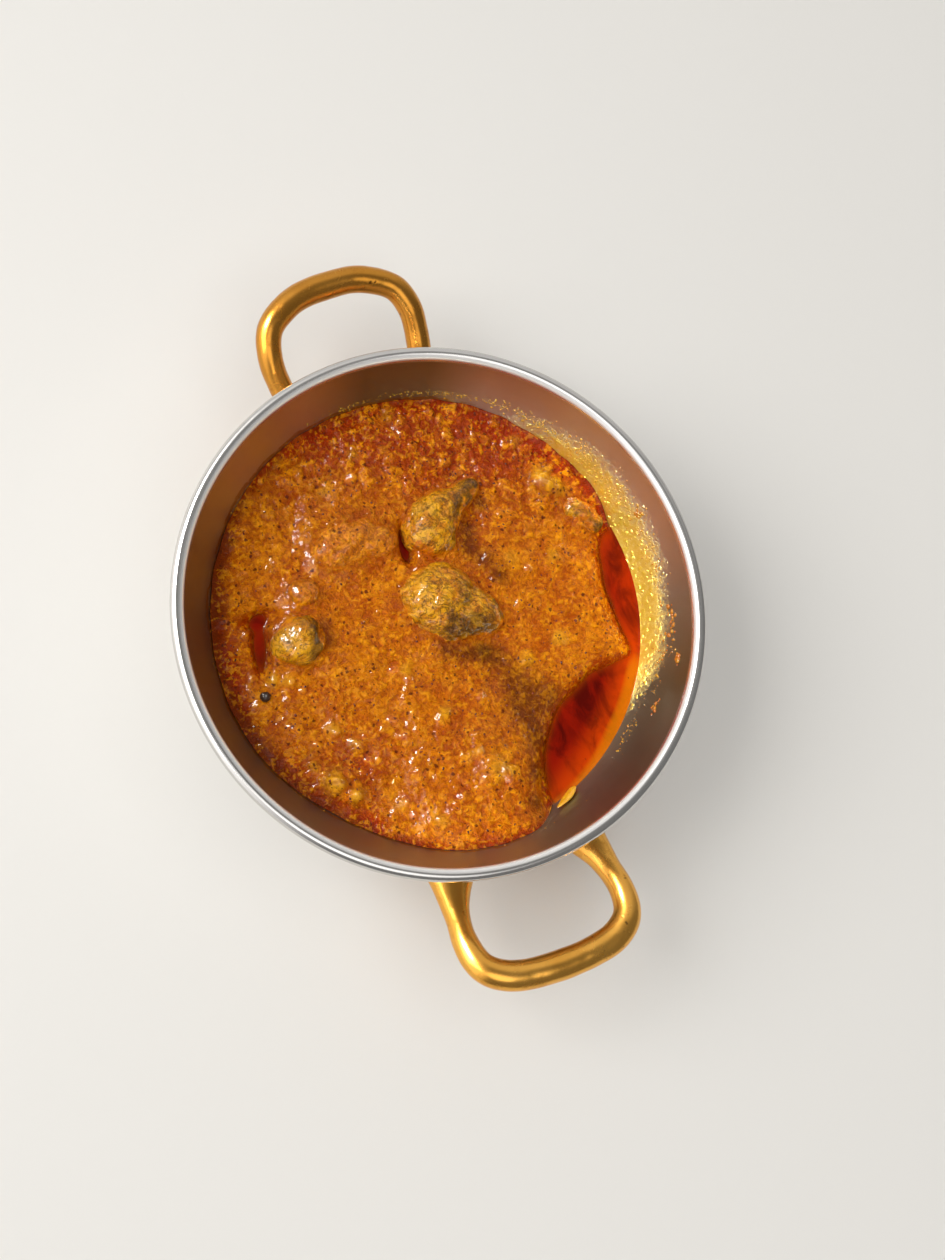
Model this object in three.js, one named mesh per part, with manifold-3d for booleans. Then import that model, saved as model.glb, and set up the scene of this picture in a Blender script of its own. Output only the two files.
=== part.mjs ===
// Lamb karahi: a thick masala with six pieces of lamb and pools of red oil, served in
// a small steel karahi with two cast brass handles.
// Millimetres, +Z up. The origin is at the centre of the base, and the handles lie along Y.
import * as THREE from "three";
import { mergeVertices } from "three/addons/utils/BufferGeometryUtils.js";
import Module from "manifold-3d";

const wasm = await Module();
wasm.setup();
const { PI, sin, cos, acos, hypot, exp, min, max } = Math;
const degrees = PI / 180;

// ---- driving dimensions ----
const rimDiameter = 170;
const bowlHeight = 55;
const beadDiameter = 4.2; // the rolled edge
const wallThickness = 1.2;
const wallArc = 75; // radius of the wall's curve, seen from the side
const wallTopLean = 76 * degrees; // the wall's slope just under the rim, from the horizontal
const wallFootLean = 25 * degrees; // its slope where the knuckle starts
const knuckleArc = 20; // radius of the curve from the wall into the flat floor
const bowlSides = 60;
const gap = 0.3; // between pieces that touch

const fillBelowRim = 22.5; // the masala's general level
const oilBelowRim = 25.4; // the oil's level, which is flat

const handleFootBelowRim = 31;
const handleBarBelowRim = 16;

// ---- the bowl's wall ----
const beadRadius = beadDiameter / 2;
const wallTopRadius = rimDiameter / 2 - beadDiameter;
const wallTopHeight = bowlHeight - beadRadius;
const wallFootRadius = wallTopRadius - wallArc * (sin(wallTopLean) - sin(wallFootLean));
const wallFootHeight = wallTopHeight - wallArc * (cos(wallFootLean) - cos(wallTopLean));
const floorRadius = wallFootRadius - knuckleArc * sin(wallFootLean);
const floorHeight = wallFootHeight - knuckleArc * (1 - cos(wallFootLean));

// A point on the wall at a slope (0 on the floor), a distance outside the inner face.
function wallPoint(lean, outside) {
  const onWall = lean > wallFootLean;
  const arc = onWall ? wallArc : knuckleArc;
  const centreRadius = onWall ? wallTopRadius - wallArc * sin(wallTopLean) : floorRadius;
  const centreHeight = onWall ? wallTopHeight + wallArc * cos(wallTopLean) : floorHeight + knuckleArc;
  return new THREE.Vector2(
    centreRadius + (arc + outside) * sin(lean),
    centreHeight - (arc + outside) * cos(lean),
  );
}

// The inner face's radius at a height on the wall.
function wallRadius(height) {
  const lean = acos(min(1, cos(wallTopLean) + (wallTopHeight - height) / wallArc));
  return wallTopRadius - wallArc * (sin(wallTopLean) - sin(lean));
}

// The wall from the floor's edge up to a slope, as lathe points.
function wallProfile(outside, topLean, steps) {
  const knuckleSteps = 2;
  const points = [];
  for (let i = 0; i <= knuckleSteps; i++) points.push(wallPoint((wallFootLean * i) / knuckleSteps, outside));
  for (let i = 1; i <= steps; i++)
    points.push(wallPoint(wallFootLean + ((topLean - wallFootLean) * i) / steps, outside));
  return points;
}

// ---- helpers for meshes and solids ----
// A closed geometry as a solid. Only its positions count.
function solidFrom(geometry) {
  const bare = new THREE.BufferGeometry();
  bare.setAttribute("position", geometry.getAttribute("position"));
  if (geometry.index) bare.setIndex(geometry.index);
  const merged = mergeVertices(bare, 1e-4);
  return new wasm.Manifold(
    new wasm.Mesh({
      numProp: 3,
      vertProperties: new Float32Array(merged.getAttribute("position").array),
      triVerts: new Uint32Array(merged.index.array),
    }),
  );
}

function geometryFrom(solid) {
  const mesh = solid.getMesh();
  const geometry = new THREE.BufferGeometry();
  geometry.setAttribute("position", new THREE.BufferAttribute(new Float32Array(mesh.vertProperties), 3));
  geometry.setIndex(new THREE.BufferAttribute(new Uint32Array(mesh.triVerts), 1));
  return geometry.toNonIndexed();
}

// Lathe points are (radius, height). The lathe turns about Y, so it is stood up to turn about Z.
function turned(points) {
  return new THREE.LatheGeometry(points, bowlSides).rotateX(PI / 2);
}

// A closed skin over rings of equal count, from one end point to the other.
function skinOver(rings, firstPoint, lastPoint) {
  const sides = rings[0].length;
  const positions = [firstPoint, ...rings.flat(), lastPoint].flatMap((p) => [p.x, p.y, p.z]);
  const lastIndex = positions.length / 3 - 1;
  const index = [];
  const at = (ring, side) => 1 + ring * sides + (side % sides);
  for (let side = 0; side < sides; side++) {
    index.push(0, at(0, side + 1), at(0, side));
    for (let ring = 0; ring + 1 < rings.length; ring++) {
      index.push(at(ring, side), at(ring, side + 1), at(ring + 1, side + 1));
      index.push(at(ring, side), at(ring + 1, side + 1), at(ring + 1, side));
    }
    index.push(lastIndex, at(rings.length - 1, side), at(rings.length - 1, side + 1));
  }
  const geometry = new THREE.BufferGeometry();
  geometry.setAttribute("position", new THREE.Float32BufferAttribute(positions, 3));
  geometry.setIndex(index);
  return geometry;
}

// ---- the bowl ----
function bowl() {
  const steps = 8;
  const beadSteps = 7;
  const beadStart = PI; // the bead starts at the inner face
  const beadEnd = -128 * degrees; // and rolls over and down to the outer face
  const outerTopLean = wallTopLean - 2.2 * degrees;
  const beadCentre = new THREE.Vector2(wallTopRadius + beadRadius, wallTopHeight);
  const bead = [];
  for (let i = 1; i <= beadSteps; i++) {
    const angle = beadStart + ((beadEnd - beadStart) * i) / beadSteps;
    bead.push(new THREE.Vector2(beadCentre.x + beadRadius * cos(angle), beadCentre.y + beadRadius * sin(angle)));
  }
  const inner = wallProfile(0, wallTopLean, steps);
  const outer = wallProfile(wallThickness, outerTopLean, steps).reverse();
  const underside = outer[outer.length - 1].y;
  const profile = [
    new THREE.Vector2(0, floorHeight),
    ...inner,
    ...bead,
    ...outer,
    new THREE.Vector2(0, underside),
  ];
  return turned(profile.reverse());
}

// Everything inside the bowl's inner face up to a height, a distance away from that face.
function inside(height, away) {
  const lean = acos(cos(wallTopLean) + (wallTopHeight - height) / wallArc);
  const wall = wallProfile(-away, lean, 8);
  wall[wall.length - 1].y = height;
  const points = [new THREE.Vector2(0, wall[0].y), ...wall, new THREE.Vector2(0, height)];
  return solidFrom(turned(points));
}

// Everything inside the outer face, grown a little, which trims the handles' feet.
function outsideShape(away) {
  const wall = wallProfile(wallThickness + away, wallTopLean, 9);
  const points = [new THREE.Vector2(0, wall[0].y), ...wall, new THREE.Vector2(0, wall[wall.length - 1].y)];
  return solidFrom(turned(points));
}

// ---- the handles ----
// Widths lie in a handle's own plane and heights across it. legs are the distances from the middle to
// a leg's centre: in the wall, beside it, halfway out and at the bar. corner says how far the corner's
// two points lie in from there. Each handle is a hand-fixed casting, a little aside and turned.
const backHandle = {
  reach: 120.2, // from the bowl's axis to the outside of the bar
  legs: [20, 20.8, 25, 25.4],
  corner: [3, 10],
  legWidth: 7.9,
  barWidth: 8.9,
  barHeight: 8.4,
  footWidth: 19,
  flareLength: 15, // the foot narrows to the leg over this much of it
  flareCurve: 1.7,
  aside: 3.5,
  turned: 5.2 * degrees,
};
const frontHandle = {
  reach: 120.7,
  legs: [23, 21.6, 25.6, 26.8],
  corner: [1.9, 7.8],
  legWidth: 7.5,
  barWidth: 9.6,
  barHeight: 8.8,
  footWidth: 26,
  flareLength: 28,
  flareCurve: 1.85,
  aside: -2,
  turned: -0.5 * degrees,
};
const footHeight = 15;
const footPad = 5; // a foot keeps its width over this much next to the wall

function handle(size) {
  const bar = size.reach - size.barWidth / 2; // centre of the bar, from the bowl's axis
  const wallAtFoot = wallRadius(28);
  const [inWall, byWall, halfway, wide] = size.legs;
  const half = [
    [inWall, wallAtFoot - 7], // inside the wall, trimmed off below
    [byWall, wallAtFoot + 4],
    [halfway, wallAtFoot + 21],
    [wide, bar - 15],
    [wide - size.corner[0], bar - 7.5],
    [wide - size.corner[1], bar - 2.7],
    [wide - 16, bar - 0.6],
  ];
  const outline = [...half, [0, bar], ...half.map(([u, v]) => [-u, v]).reverse()];
  const rise = (v) => {
    const t = max(0, min(1, (v - wallAtFoot) / (bar - wallAtFoot)));
    return bowlHeight - handleFootBelowRim + (handleFootBelowRim - handleBarBelowRim) * t * t * (3 - 2 * t);
  };
  const path = new THREE.CatmullRomCurve3(
    outline.map(([u, v]) => new THREE.Vector3(u, v, rise(v))),
    false,
    "centripetal",
  );
  const steps = 28;
  const sides = 10;
  const up = new THREE.Vector3(0, 0, 1);
  const rings = [];
  for (let i = 0; i <= steps; i++) {
    const point = path.getPointAt(i / steps);
    const along = path.getTangentAt(i / steps);
    const across = new THREE.Vector3().crossVectors(up, along).normalize();
    const normal = new THREE.Vector3().crossVectors(along, across).normalize();
    const fromWall = max(footPad, point.y - wallAtFoot);
    const flare = max(0, 1 - fromWall / size.flareLength) ** size.flareCurve;
    const towardBar = max(0, min(1, (point.y - (bar - 22)) / 20));
    const thickness = (atBar, atFoot) =>
      size.legWidth + (atBar - size.legWidth) * towardBar + (atFoot - size.legWidth) * flare;
    const width = thickness(size.barWidth, size.footWidth);
    const height = thickness(size.barHeight, footHeight);
    const ring = [];
    for (let side = 0; side < sides; side++) {
      const angle = (2 * PI * side) / sides;
      ring.push(
        point
          .clone()
          .addScaledVector(across, (width / 2) * cos(angle))
          .addScaledVector(normal, (height / 2) * sin(angle)),
      );
    }
    rings.push(ring);
  }
  const skin = skinOver(rings, path.getPointAt(0), path.getPointAt(1));
  skin.translate(0, -wallAtFoot, 0).rotateZ(size.turned).translate(size.aside, wallAtFoot, 0);
  return solidFrom(skin).subtract(outsideShape(gap));
}

// ---- the masala's surface ----
// Banks, lumps and hollows: a centre, two radii, a turn in degrees, a rise (or fall), and how square
// the edge is (1 is a soft bell, 3 has a steep side and a flat top).
const relief = [
  { x: 5, y: 64, rx: 52, ry: 20, turn: 0, rise: 2.8, edge: 1 }, // bank at the back
  { x: -3, y: -62, rx: 26, ry: 27, turn: 0, rise: 5.2, edge: 1.6 }, // bank at the front
  { x: -10, y: 2, rx: 32, ry: 36, turn: 10, rise: 2.2, edge: 1 }, // the middle is heaped
  { x: -50, y: -46, rx: 24, ry: 22, turn: -40, rise: -3.6, edge: 1 }, // low at the left front
  { x: -72, y: 10, rx: 16, ry: 34, turn: 0, rise: -2, edge: 1 }, // low at the left
  { x: -21, y: 33, rx: 17, ry: 11, turn: 15, rise: 1.4, edge: 1.4 }, // draped round a piece of meat
  { x: -38, y: 19, rx: 9, ry: 8, turn: 0, rise: 1, edge: 1 },
  { x: -43, y: 5, rx: 12, ry: 12, turn: 0, rise: 1.2, edge: 1 },
  { x: 2, y: -51, rx: 7, ry: 10, turn: -10, rise: 1.8, edge: 1.2 }, // covered lumps
  { x: -45, y: -43, rx: 9, ry: 6, turn: -35, rise: 2.2, edge: 1.2 },
  { x: -52, y: -27, rx: 5, ry: 9, turn: 15, rise: 1.5, edge: 1 },
  { x: -30, y: -28, rx: 10, ry: 6, turn: -30, rise: 1, edge: 1 },
  { x: -14, y: -30, rx: 10, ry: 6, turn: -40, rise: 0.9, edge: 1 },
  { x: 36, y: 4, rx: 17, ry: 23, turn: 12, rise: 2, edge: 1.3 },
  { x: 50, y: 32, rx: 7, ry: 5.5, turn: -35, rise: 2.4, edge: 1.2 },
  { x: 14, y: -14, rx: 9, ry: 5, turn: -30, rise: -1.4, edge: 1 }, // hollow under the middle piece
  { x: 41, y: -55, rx: 30, ry: 18, turn: 39, rise: -12, edge: 2.2 }, // the main pool
  { x: 73, y: -14, rx: 13, ry: 30, turn: 4, rise: -9, edge: 2 }, // its arm along the wall
  { x: -56.3, y: 8, rx: 2.7, ry: 9.5, turn: -14, rise: -5.2, edge: 1.5 }, // the left puddle
  { x: -54.4, y: 16.4, rx: 5.6, ry: 2.6, turn: 6, rise: -4, edge: 1.5 },
  { x: -1.3, y: 26.3, rx: 1.9, ry: 6.2, turn: -8, rise: -8.5, edge: 1.4 }, // the middle puddle
];
const masalaLevel = bowlHeight - fillBelowRim;
const oilLevel = bowlHeight - oilBelowRim;

function bump(b, x, y) {
  const c = cos(b.turn * degrees);
  const s = sin(b.turn * degrees);
  const along = ((x - b.x) * c + (y - b.y) * s) / b.rx;
  const across = ((y - b.y) * c - (x - b.x) * s) / b.ry;
  return b.rise * exp(-((along * along + across * across) ** b.edge));
}

// The soft unevenness that a stirred sauce keeps, from a few crossed waves.
function ripple(x, y) {
  return (
    0.3 * sin(0.33 * x + 0.17 * y + 1.3) * sin(0.27 * y - 0.21 * x + 0.4) +
    0.12 * sin(0.46 * x - 0.52 * y + 2.1) * sin(0.19 * x + 0.14 * y)
  );
}

function masalaHeight(x, y) {
  return relief.reduce((height, b) => height + bump(b, x, y), masalaLevel + ripple(x, y));
}

// Its top is a disc of even triangles, bent to the masala's height and lifted by raise. Below the
// edge come rings of points, which belowEdge gives for an edge point, and then the bottom's middle.
function masalaSolid(raise, belowEdge, bottomHeight) {
  const ringCount = 19;
  const positions = [0, 0, masalaHeight(0, 0) + raise];
  const starts = [0];
  const edge = [];
  for (let ring = 1; ring <= ringCount; ring++) {
    starts.push(positions.length / 3);
    for (let i = 0; i < 6 * ring; i++) {
      const angle = (2 * PI * i) / (6 * ring);
      const radius = (edgeRadius(angle) * ring) / ringCount;
      const height = masalaHeight(radius * cos(angle), radius * sin(angle)) + raise;
      positions.push(radius * cos(angle), radius * sin(angle), height);
      if (ring === ringCount) edge.push({ angle, radius, height });
    }
  }
  const index = [];
  for (let ring = 1; ring <= ringCount; ring++)
    for (let sector = 0; sector < 6; sector++)
      for (let i = 0; i < ring; i++) {
        const outer = (k) => starts[ring] + ((sector * ring + k) % (6 * ring));
        const inner = (k) =>
          ring === 1 ? 0 : starts[ring - 1] + ((sector * (ring - 1) + k) % (6 * (ring - 1)));
        index.push(outer(i), outer(i + 1), inner(i));
        if (i + 1 < ring) index.push(inner(i), outer(i + 1), inner(i + 1));
      }
  const rows = edge.map(belowEdge);
  let above = starts[ringCount];
  for (let row = 0; row < rows[0].length; row++) {
    const start = positions.length / 3;
    edge.forEach(({ angle }, i) => {
      const point = rows[i][row];
      positions.push(point.x * cos(angle), point.x * sin(angle), point.y);
    });
    for (let i = 0; i < edge.length; i++) {
      const next = (i + 1) % edge.length;
      index.push(above + i, start + i, start + next, above + i, start + next, above + next);
    }
    above = start;
  }
  const bottom = positions.length / 3;
  positions.push(0, 0, bottomHeight);
  for (let i = 0; i < edge.length; i++) index.push(bottom, above + ((i + 1) % edge.length), above + i);
  const geometry = new THREE.BufferGeometry();
  geometry.setAttribute("position", new THREE.Float32BufferAttribute(positions, 3));
  geometry.setIndex(index);
  return solidFrom(geometry);
}

// Where the masala's top meets the wall, by angle.
function edgeRadius(angle) {
  let radius = wallTopRadius - 8;
  for (let i = 0; i < 12; i++)
    radius = wallRadius(masalaHeight(radius * cos(angle), radius * sin(angle))) - gap;
  return radius;
}

// The masala itself follows the wall down to the floor.
function masala() {
  const sideSteps = 3;
  const floorLean = 3 * degrees;
  const downTheWall = ({ height }) => {
    const edgeLean = acos(cos(wallTopLean) + (wallTopHeight - height) / wallArc);
    const steps = [...Array(sideSteps).keys()].map((step) => (step + 1) / sideSteps);
    return steps.map((share) => wallPoint(edgeLean + (floorLean - edgeLean) * share, -gap));
  };
  return masalaSolid(0, downTheWall, floorHeight + gap);
}

// All that lies under the masala's top, out past the wall, with the gap to what lies on it.
function underOil() {
  const past = 6;
  const depth = -5;
  const outAndDown = ({ radius, height }) => [
    new THREE.Vector2(radius + past, height),
    new THREE.Vector2(radius + past, depth),
  ];
  return masalaSolid(gap, outAndDown, depth);
}

// ---- the meat ----
// Each piece is a few round lobes run together: their centres as x, y and height over the masala's
// level, and their radii. detail sets how fine its triangles are.
const meatPieces = {
  meat_upper: {
    detail: 3,
    lobes: [
      { x: 6.4, y: 26.8, z: -0.6, radius: 6.9 },
      { x: 8.7, y: 31.2, z: -1.4, radius: 8.8 },
      { x: 14.9, y: 34.6, z: -1, radius: 7 },
      { x: 22.4, y: 37.5, z: -0.3, radius: 4.6 },
      { x: 25.6, y: 38.8, z: 0.2, radius: 3 },
      { x: 11.6, y: 23.2, z: 0.1, radius: 3.6 },
    ],
  },
  meat_centre: {
    detail: 4,
    lobes: [
      { x: 0.2, y: 6.2, z: -1.4, radius: 10.3 },
      { x: 4.6, y: 9, z: -1.6, radius: 9.2 },
      { x: 10, y: 4.4, z: -0.3, radius: 6.5 },
      { x: 14, y: -2.2, z: -0.8, radius: 7.5 },
      { x: 16.9, y: -6, z: 0.3, radius: 3.9 },
      { x: 3.8, y: -2, z: -0.8, radius: 7.8 },
    ],
  },
  meat_back: {
    detail: 3,
    lobes: [
      { x: -25.6, y: 30.7, z: -4, radius: 9.5 },
      { x: -16.6, y: 32.5, z: -3.2, radius: 8.9 },
      { x: -9.5, y: 29.5, z: -2.5, radius: 7.1 },
    ],
  },
  meat_left: {
    detail: 3,
    lobes: [
      { x: -44.3, y: 4.6, z: -0.8, radius: 7.1 },
      { x: -42.3, y: 7, z: -0.8, radius: 6.8 },
      { x: -47.4, y: 5.5, z: -0.8, radius: 6.2 },
    ],
  },
  meat_knob: {
    detail: 3,
    lobes: [
      { x: -39.8, y: 20.8, z: 0.4, radius: 3.9 },
      { x: -37.3, y: 19.7, z: 0, radius: 5.1 },
    ],
  },
  meat_right: {
    detail: 3,
    lobes: [
      { x: 57.5, y: 23, z: -1.6, radius: 4.2 },
      { x: 61.1, y: 19.6, z: -1.5, radius: 4.5 },
      { x: 63.2, y: 16, z: -1.2, radius: 3.4 },
    ],
  },
};
const lobeBlend = 4.5; // how sharply one lobe gives way to the next

// The knobs and hollows of a cooked piece, as a share of a lobe's radius.
function knobbly(x, y, z) {
  return (
    0.03 * sin(0.52 * x + 0.34 * z + 0.7) * sin(0.47 * y + 1.9) +
    0.018 * sin(0.83 * y - 0.61 * x + 0.9 * z)
  );
}

// Along each direction from the middle, the skin is where the lobes' shares add up to 1.
function lobed(lobes, baseHeight, detail, grow) {
  const centre = new THREE.Vector3();
  const weight = lobes.reduce((sum, lobe) => sum + lobe.radius, 0);
  for (const lobe of lobes)
    centre.addScaledVector(new THREE.Vector3(lobe.x, lobe.y, baseHeight + lobe.z), lobe.radius / weight);
  const inLobes = (p) => {
    const swell = 1 + knobbly(p.x, p.y, p.z);
    const share = (lobe) =>
      exp(lobeBlend * (swell - hypot(p.x - lobe.x, p.y - lobe.y, p.z - baseHeight - lobe.z) / lobe.radius));
    return lobes.reduce((sum, lobe) => sum + share(lobe), 0) > 1;
  };
  const skin = new THREE.IcosahedronGeometry(1, detail);
  const positions = skin.getAttribute("position");
  const direction = new THREE.Vector3();
  const point = new THREE.Vector3();
  for (let i = 0; i < positions.count; i++) {
    direction.fromBufferAttribute(positions, i).normalize();
    let within = 0;
    let beyond = 40;
    for (let halving = 0; halving < 18; halving++) {
      const distance = (within + beyond) / 2;
      if (inLobes(point.copy(centre).addScaledVector(direction, distance))) within = distance;
      else beyond = distance;
    }
    point.copy(centre).addScaledVector(direction, within + grow);
    positions.setXYZ(i, point.x, point.y, point.z);
  }
  return solidFrom(skin);
}

function meat({ lobes, detail }, grow) {
  return lobed(lobes, masalaLevel, detail, grow);
}

// ---- small things on the masala ----
const peppercorn = { x: -60, y: -8, radius: 1.9 };
const sliver = {
  angle: -68.5 * degrees, // of its lower end
  sweep: -7 * degrees, // from there to its upper end
  lowest: 31,
  highest: 34,
  width: 4,
  thickness: 1.9,
};

function pepper() {
  const ball = new THREE.IcosahedronGeometry(peppercorn.radius, 1);
  ball.translate(peppercorn.x, peppercorn.y, masalaHeight(peppercorn.x, peppercorn.y) + peppercorn.radius * 0.35);
  return solidFrom(ball);
}

// A sliver of ginger stuck to the wall at the edge of the pool, lying up the wall at a slant.
function gingerSliver() {
  const { angle, lowest, highest, sweep, width, thickness } = sliver;
  const steps = 8;
  const sides = 10;
  const at = (share) => {
    const height = lowest + (highest - lowest) * share;
    const lean = acos(cos(wallTopLean) + (wallTopHeight - height) / wallArc);
    const clear = -gap - thickness / 2;
    const onWall = wallPoint(lean, clear);
    const turn = angle + sweep * share;
    const up = new THREE.Vector3(cos(lean) * cos(turn), cos(lean) * sin(turn), sin(lean));
    const round = new THREE.Vector3(-sin(turn), cos(turn), 0);
    const along = round.clone().multiplyScalar(onWall.x * sweep).addScaledVector(up, highest - lowest);
    return {
      point: new THREE.Vector3(onWall.x * cos(turn), onWall.x * sin(turn), onWall.y),
      off: new THREE.Vector3().crossVectors(round, up).normalize(),
      along: along.normalize(),
    };
  };
  const rings = [];
  for (let i = 1; i < steps; i++) {
    const share = i / steps;
    const { point, off, along } = at(share);
    const across = new THREE.Vector3().crossVectors(off, along).normalize();
    const taper = sin(PI * share) ** 0.5 * (1 - 0.45 * share);
    const ring = [];
    for (let side = 0; side < sides; side++) {
      const turn = (2 * PI * side) / sides;
      ring.push(
        point
          .clone()
          .addScaledVector(off, (thickness / 2) * taper * cos(turn))
          .addScaledVector(across, -(width / 2) * taper * sin(turn)),
      );
    }
    rings.push(ring);
  }
  return solidFrom(skinOver(rings, at(0).point, at(1).point));
}

// ---- putting it together ----
const steel = new THREE.MeshStandardMaterial({ color: 0xb9b6b0, roughness: 0.28, metalness: 1 });
const brass = new THREE.MeshStandardMaterial({ color: 0xc8963a, roughness: 0.25, metalness: 1 });
const sauce = new THREE.MeshStandardMaterial({ color: 0xb8650f, roughness: 0.35 });
const redOil = new THREE.MeshStandardMaterial({ color: 0x9a2605, roughness: 0.08 });
const ginger = new THREE.MeshStandardMaterial({ color: 0xd9a01e, roughness: 0.35 });
const lamb = new THREE.MeshStandardMaterial({ color: 0x93692a, roughness: 0.4 });

const dish = new THREE.Group();
function put(name, geometry, material) {
  const mesh = new THREE.Mesh(geometry, material);
  mesh.name = name;
  dish.add(mesh);
  return mesh;
}

put("bowl", bowl(), steel);
put("handle_back", geometryFrom(handle(backHandle)), brass);
put("handle_front", geometryFrom(handle(frontHandle)), brass).rotation.z = PI;

const meatSockets = [];
for (const [name, places] of Object.entries(meatPieces)) {
  put(name, geometryFrom(meat(places, 0)), lamb);
  meatSockets.push(meat(places, gap));
}
const sockets = wasm.Manifold.union(meatSockets);

// The largest body of a solid: cutting can leave loose scraps, which are dropped.
const largest = (solid) => solid.decompose().sort((a, b) => b.volume() - a.volume())[0];
put("ginger_sliver", geometryFrom(gingerSliver()), ginger);
put("masala", geometryFrom(largest(masala().add(pepper()).subtract(sockets))), sauce);

// The oil lies wherever the masala is lower than the oil's level.
const pools = inside(oilLevel, gap)
  .subtract(underOil())
  .subtract(sockets)
  .decompose()
  .sort((a, b) => b.volume() - a.volume());
const poolNames = { oil_pool: [40, -55], oil_left: [-56, 9], oil_middle: [-2, 26] };
for (const [name, [x, y]] of Object.entries(poolNames)) {
  const found = pools.find((pool) => {
    const box = pool.boundingBox();
    return box.min[0] < x && box.max[0] > x && box.min[1] < y && box.max[1] > y;
  });
  put(name, geometryFrom(found), redOil);
}

export default dish;
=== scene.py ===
# Lamb karahi: braised lamb in a thick orange masala with pools of red oil, served in a steel
# karahi with two brass handles. Shapes are worked out in millimetres and stored in metres.
import math

import bpy
import numpy as np
from mathutils import Matrix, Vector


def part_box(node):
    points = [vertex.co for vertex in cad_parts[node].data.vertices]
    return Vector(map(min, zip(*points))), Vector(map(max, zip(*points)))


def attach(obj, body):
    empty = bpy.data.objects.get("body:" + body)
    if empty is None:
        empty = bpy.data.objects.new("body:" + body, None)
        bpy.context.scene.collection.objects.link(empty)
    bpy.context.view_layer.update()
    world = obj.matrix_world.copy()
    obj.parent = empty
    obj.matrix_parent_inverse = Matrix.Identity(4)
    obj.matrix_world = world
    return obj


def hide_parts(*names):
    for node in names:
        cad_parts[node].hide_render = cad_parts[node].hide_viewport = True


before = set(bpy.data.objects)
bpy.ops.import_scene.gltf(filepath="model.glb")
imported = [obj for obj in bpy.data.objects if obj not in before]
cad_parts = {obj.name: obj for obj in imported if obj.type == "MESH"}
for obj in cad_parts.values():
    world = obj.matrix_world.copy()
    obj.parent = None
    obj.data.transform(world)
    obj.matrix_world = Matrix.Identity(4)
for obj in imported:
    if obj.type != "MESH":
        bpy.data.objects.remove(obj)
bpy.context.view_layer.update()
mm = 0.001
print("frame loaded")

dish = {
    "rimRadius": round(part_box("bowl")[1].x / mm, 1),
    "height": round(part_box("bowl")[1].z / mm, 1),
    "bead": 4.2,  # diameter of the rolled edge
    "wall": 1.2,  # thickness of the sheet
    "wallArc": 75.0,  # radius of the wall's curve, seen from the side
    "topLean": math.radians(76),  # slope of the wall under the rim, from the horizontal
    "footLean": math.radians(25),  # slope where the knuckle starts
    "knuckleArc": 20.0,
    "beadTurn": math.radians(308),  # how far the edge is rolled
    "outsideStart": math.radians(2.2),  # how far under the bead the outside wall begins
    "around": 420,  # points round the bowl
    "masalaBelowRim": 22.5,
    "oilBelowRim": 25.4,
}
rimTop = dish["height"] - dish["bead"] / 2  # height of the bead's middle
wallTop = dish["rimRadius"] - dish["bead"]  # inner radius just under the bead
arcMiddle = (
    wallTop - dish["wallArc"] * math.sin(dish["topLean"]),
    rimTop + dish["wallArc"] * math.cos(dish["topLean"]),
)
masalaLevel = dish["height"] - dish["masalaBelowRim"]
oilLevel = dish["height"] - dish["oilBelowRim"]


view = {
    "place": (-125.69, -68.06, 496.46),
    "right": (0.91803, -0.32509, 0.22702),
    "up": (0.28093, 0.93731, 0.20620),
    "back": (-0.27983, -0.12552, 0.95181),
    "lens": 42.857,  # on a picture 36 mm high
}


def makeCamera():
    data = bpy.data.cameras.new("camera")
    data.sensor_fit = "VERTICAL"
    data.sensor_height = 36
    data.lens = view["lens"]
    data.clip_start = 0.01
    camera = bpy.data.objects.new("camera", data)
    turn = Matrix((view["right"], view["up"], view["back"])).transposed().to_4x4()
    camera.matrix_world = Matrix.Translation([v * mm for v in view["place"]]) @ turn
    bpy.context.scene.collection.objects.link(camera)
    bpy.context.scene.camera = camera


studio = {
    "lights": {  # place in metres, size and power
        "key": ((-1.2, 0.5, 1.15), 1.1, 17.0),
        "spark": ((-0.85, 0.9, 1.25), 0.5, 72.0),  # shows in glints alone
        "fill": ((0.15, -0.35, 1.7), 1.7, 12.0),  # broad and soft, and seen in no reflection
    },
    "lightColor": (1.0, 0.985, 0.955),
    "skyColor": (1.0, 0.99, 0.975, 1),
    "overhead": 0.22,  # how bright the surroundings are above, and on each side
    "darkSide": 0.22,
    "brightSide": 1.5,
    "brightWay": (-0.985, 0.174, 0),
    "backSide": 0.72,
    "backWay": (0.1, 0.995, 0),
    "patch": 1.6,  # a bright patch high at the front left, for the handles' tops
    "patchWay": (-0.15, -0.36, 0.92),
    "floorColor": (0.80, 0.785, 0.755),
    "floorHalf": 3000,
}


def unit(vectors):
    # The same vectors at length 1
    return vectors / np.linalg.norm(vectors, axis=-1, keepdims=True)


def makeLight(name, place, size, power):
    # A square light that faces the origin
    data = bpy.data.lights.new(name, "AREA")
    data.shape = "RECTANGLE"
    data.size = data.size_y = size
    data.energy = power
    data.color = studio["lightColor"]
    light = bpy.data.objects.new(name, data)
    back = unit(np.array(place))
    side = unit(np.cross((0, 0, 1), back))
    turn = Matrix((side, np.cross(back, side), back)).transposed().to_4x4()
    light.matrix_world = Matrix.Translation(place) @ turn
    light.visible_glossy, light.visible_diffuse = name != "fill", name != "spark"
    bpy.context.scene.collection.objects.link(light)


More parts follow.
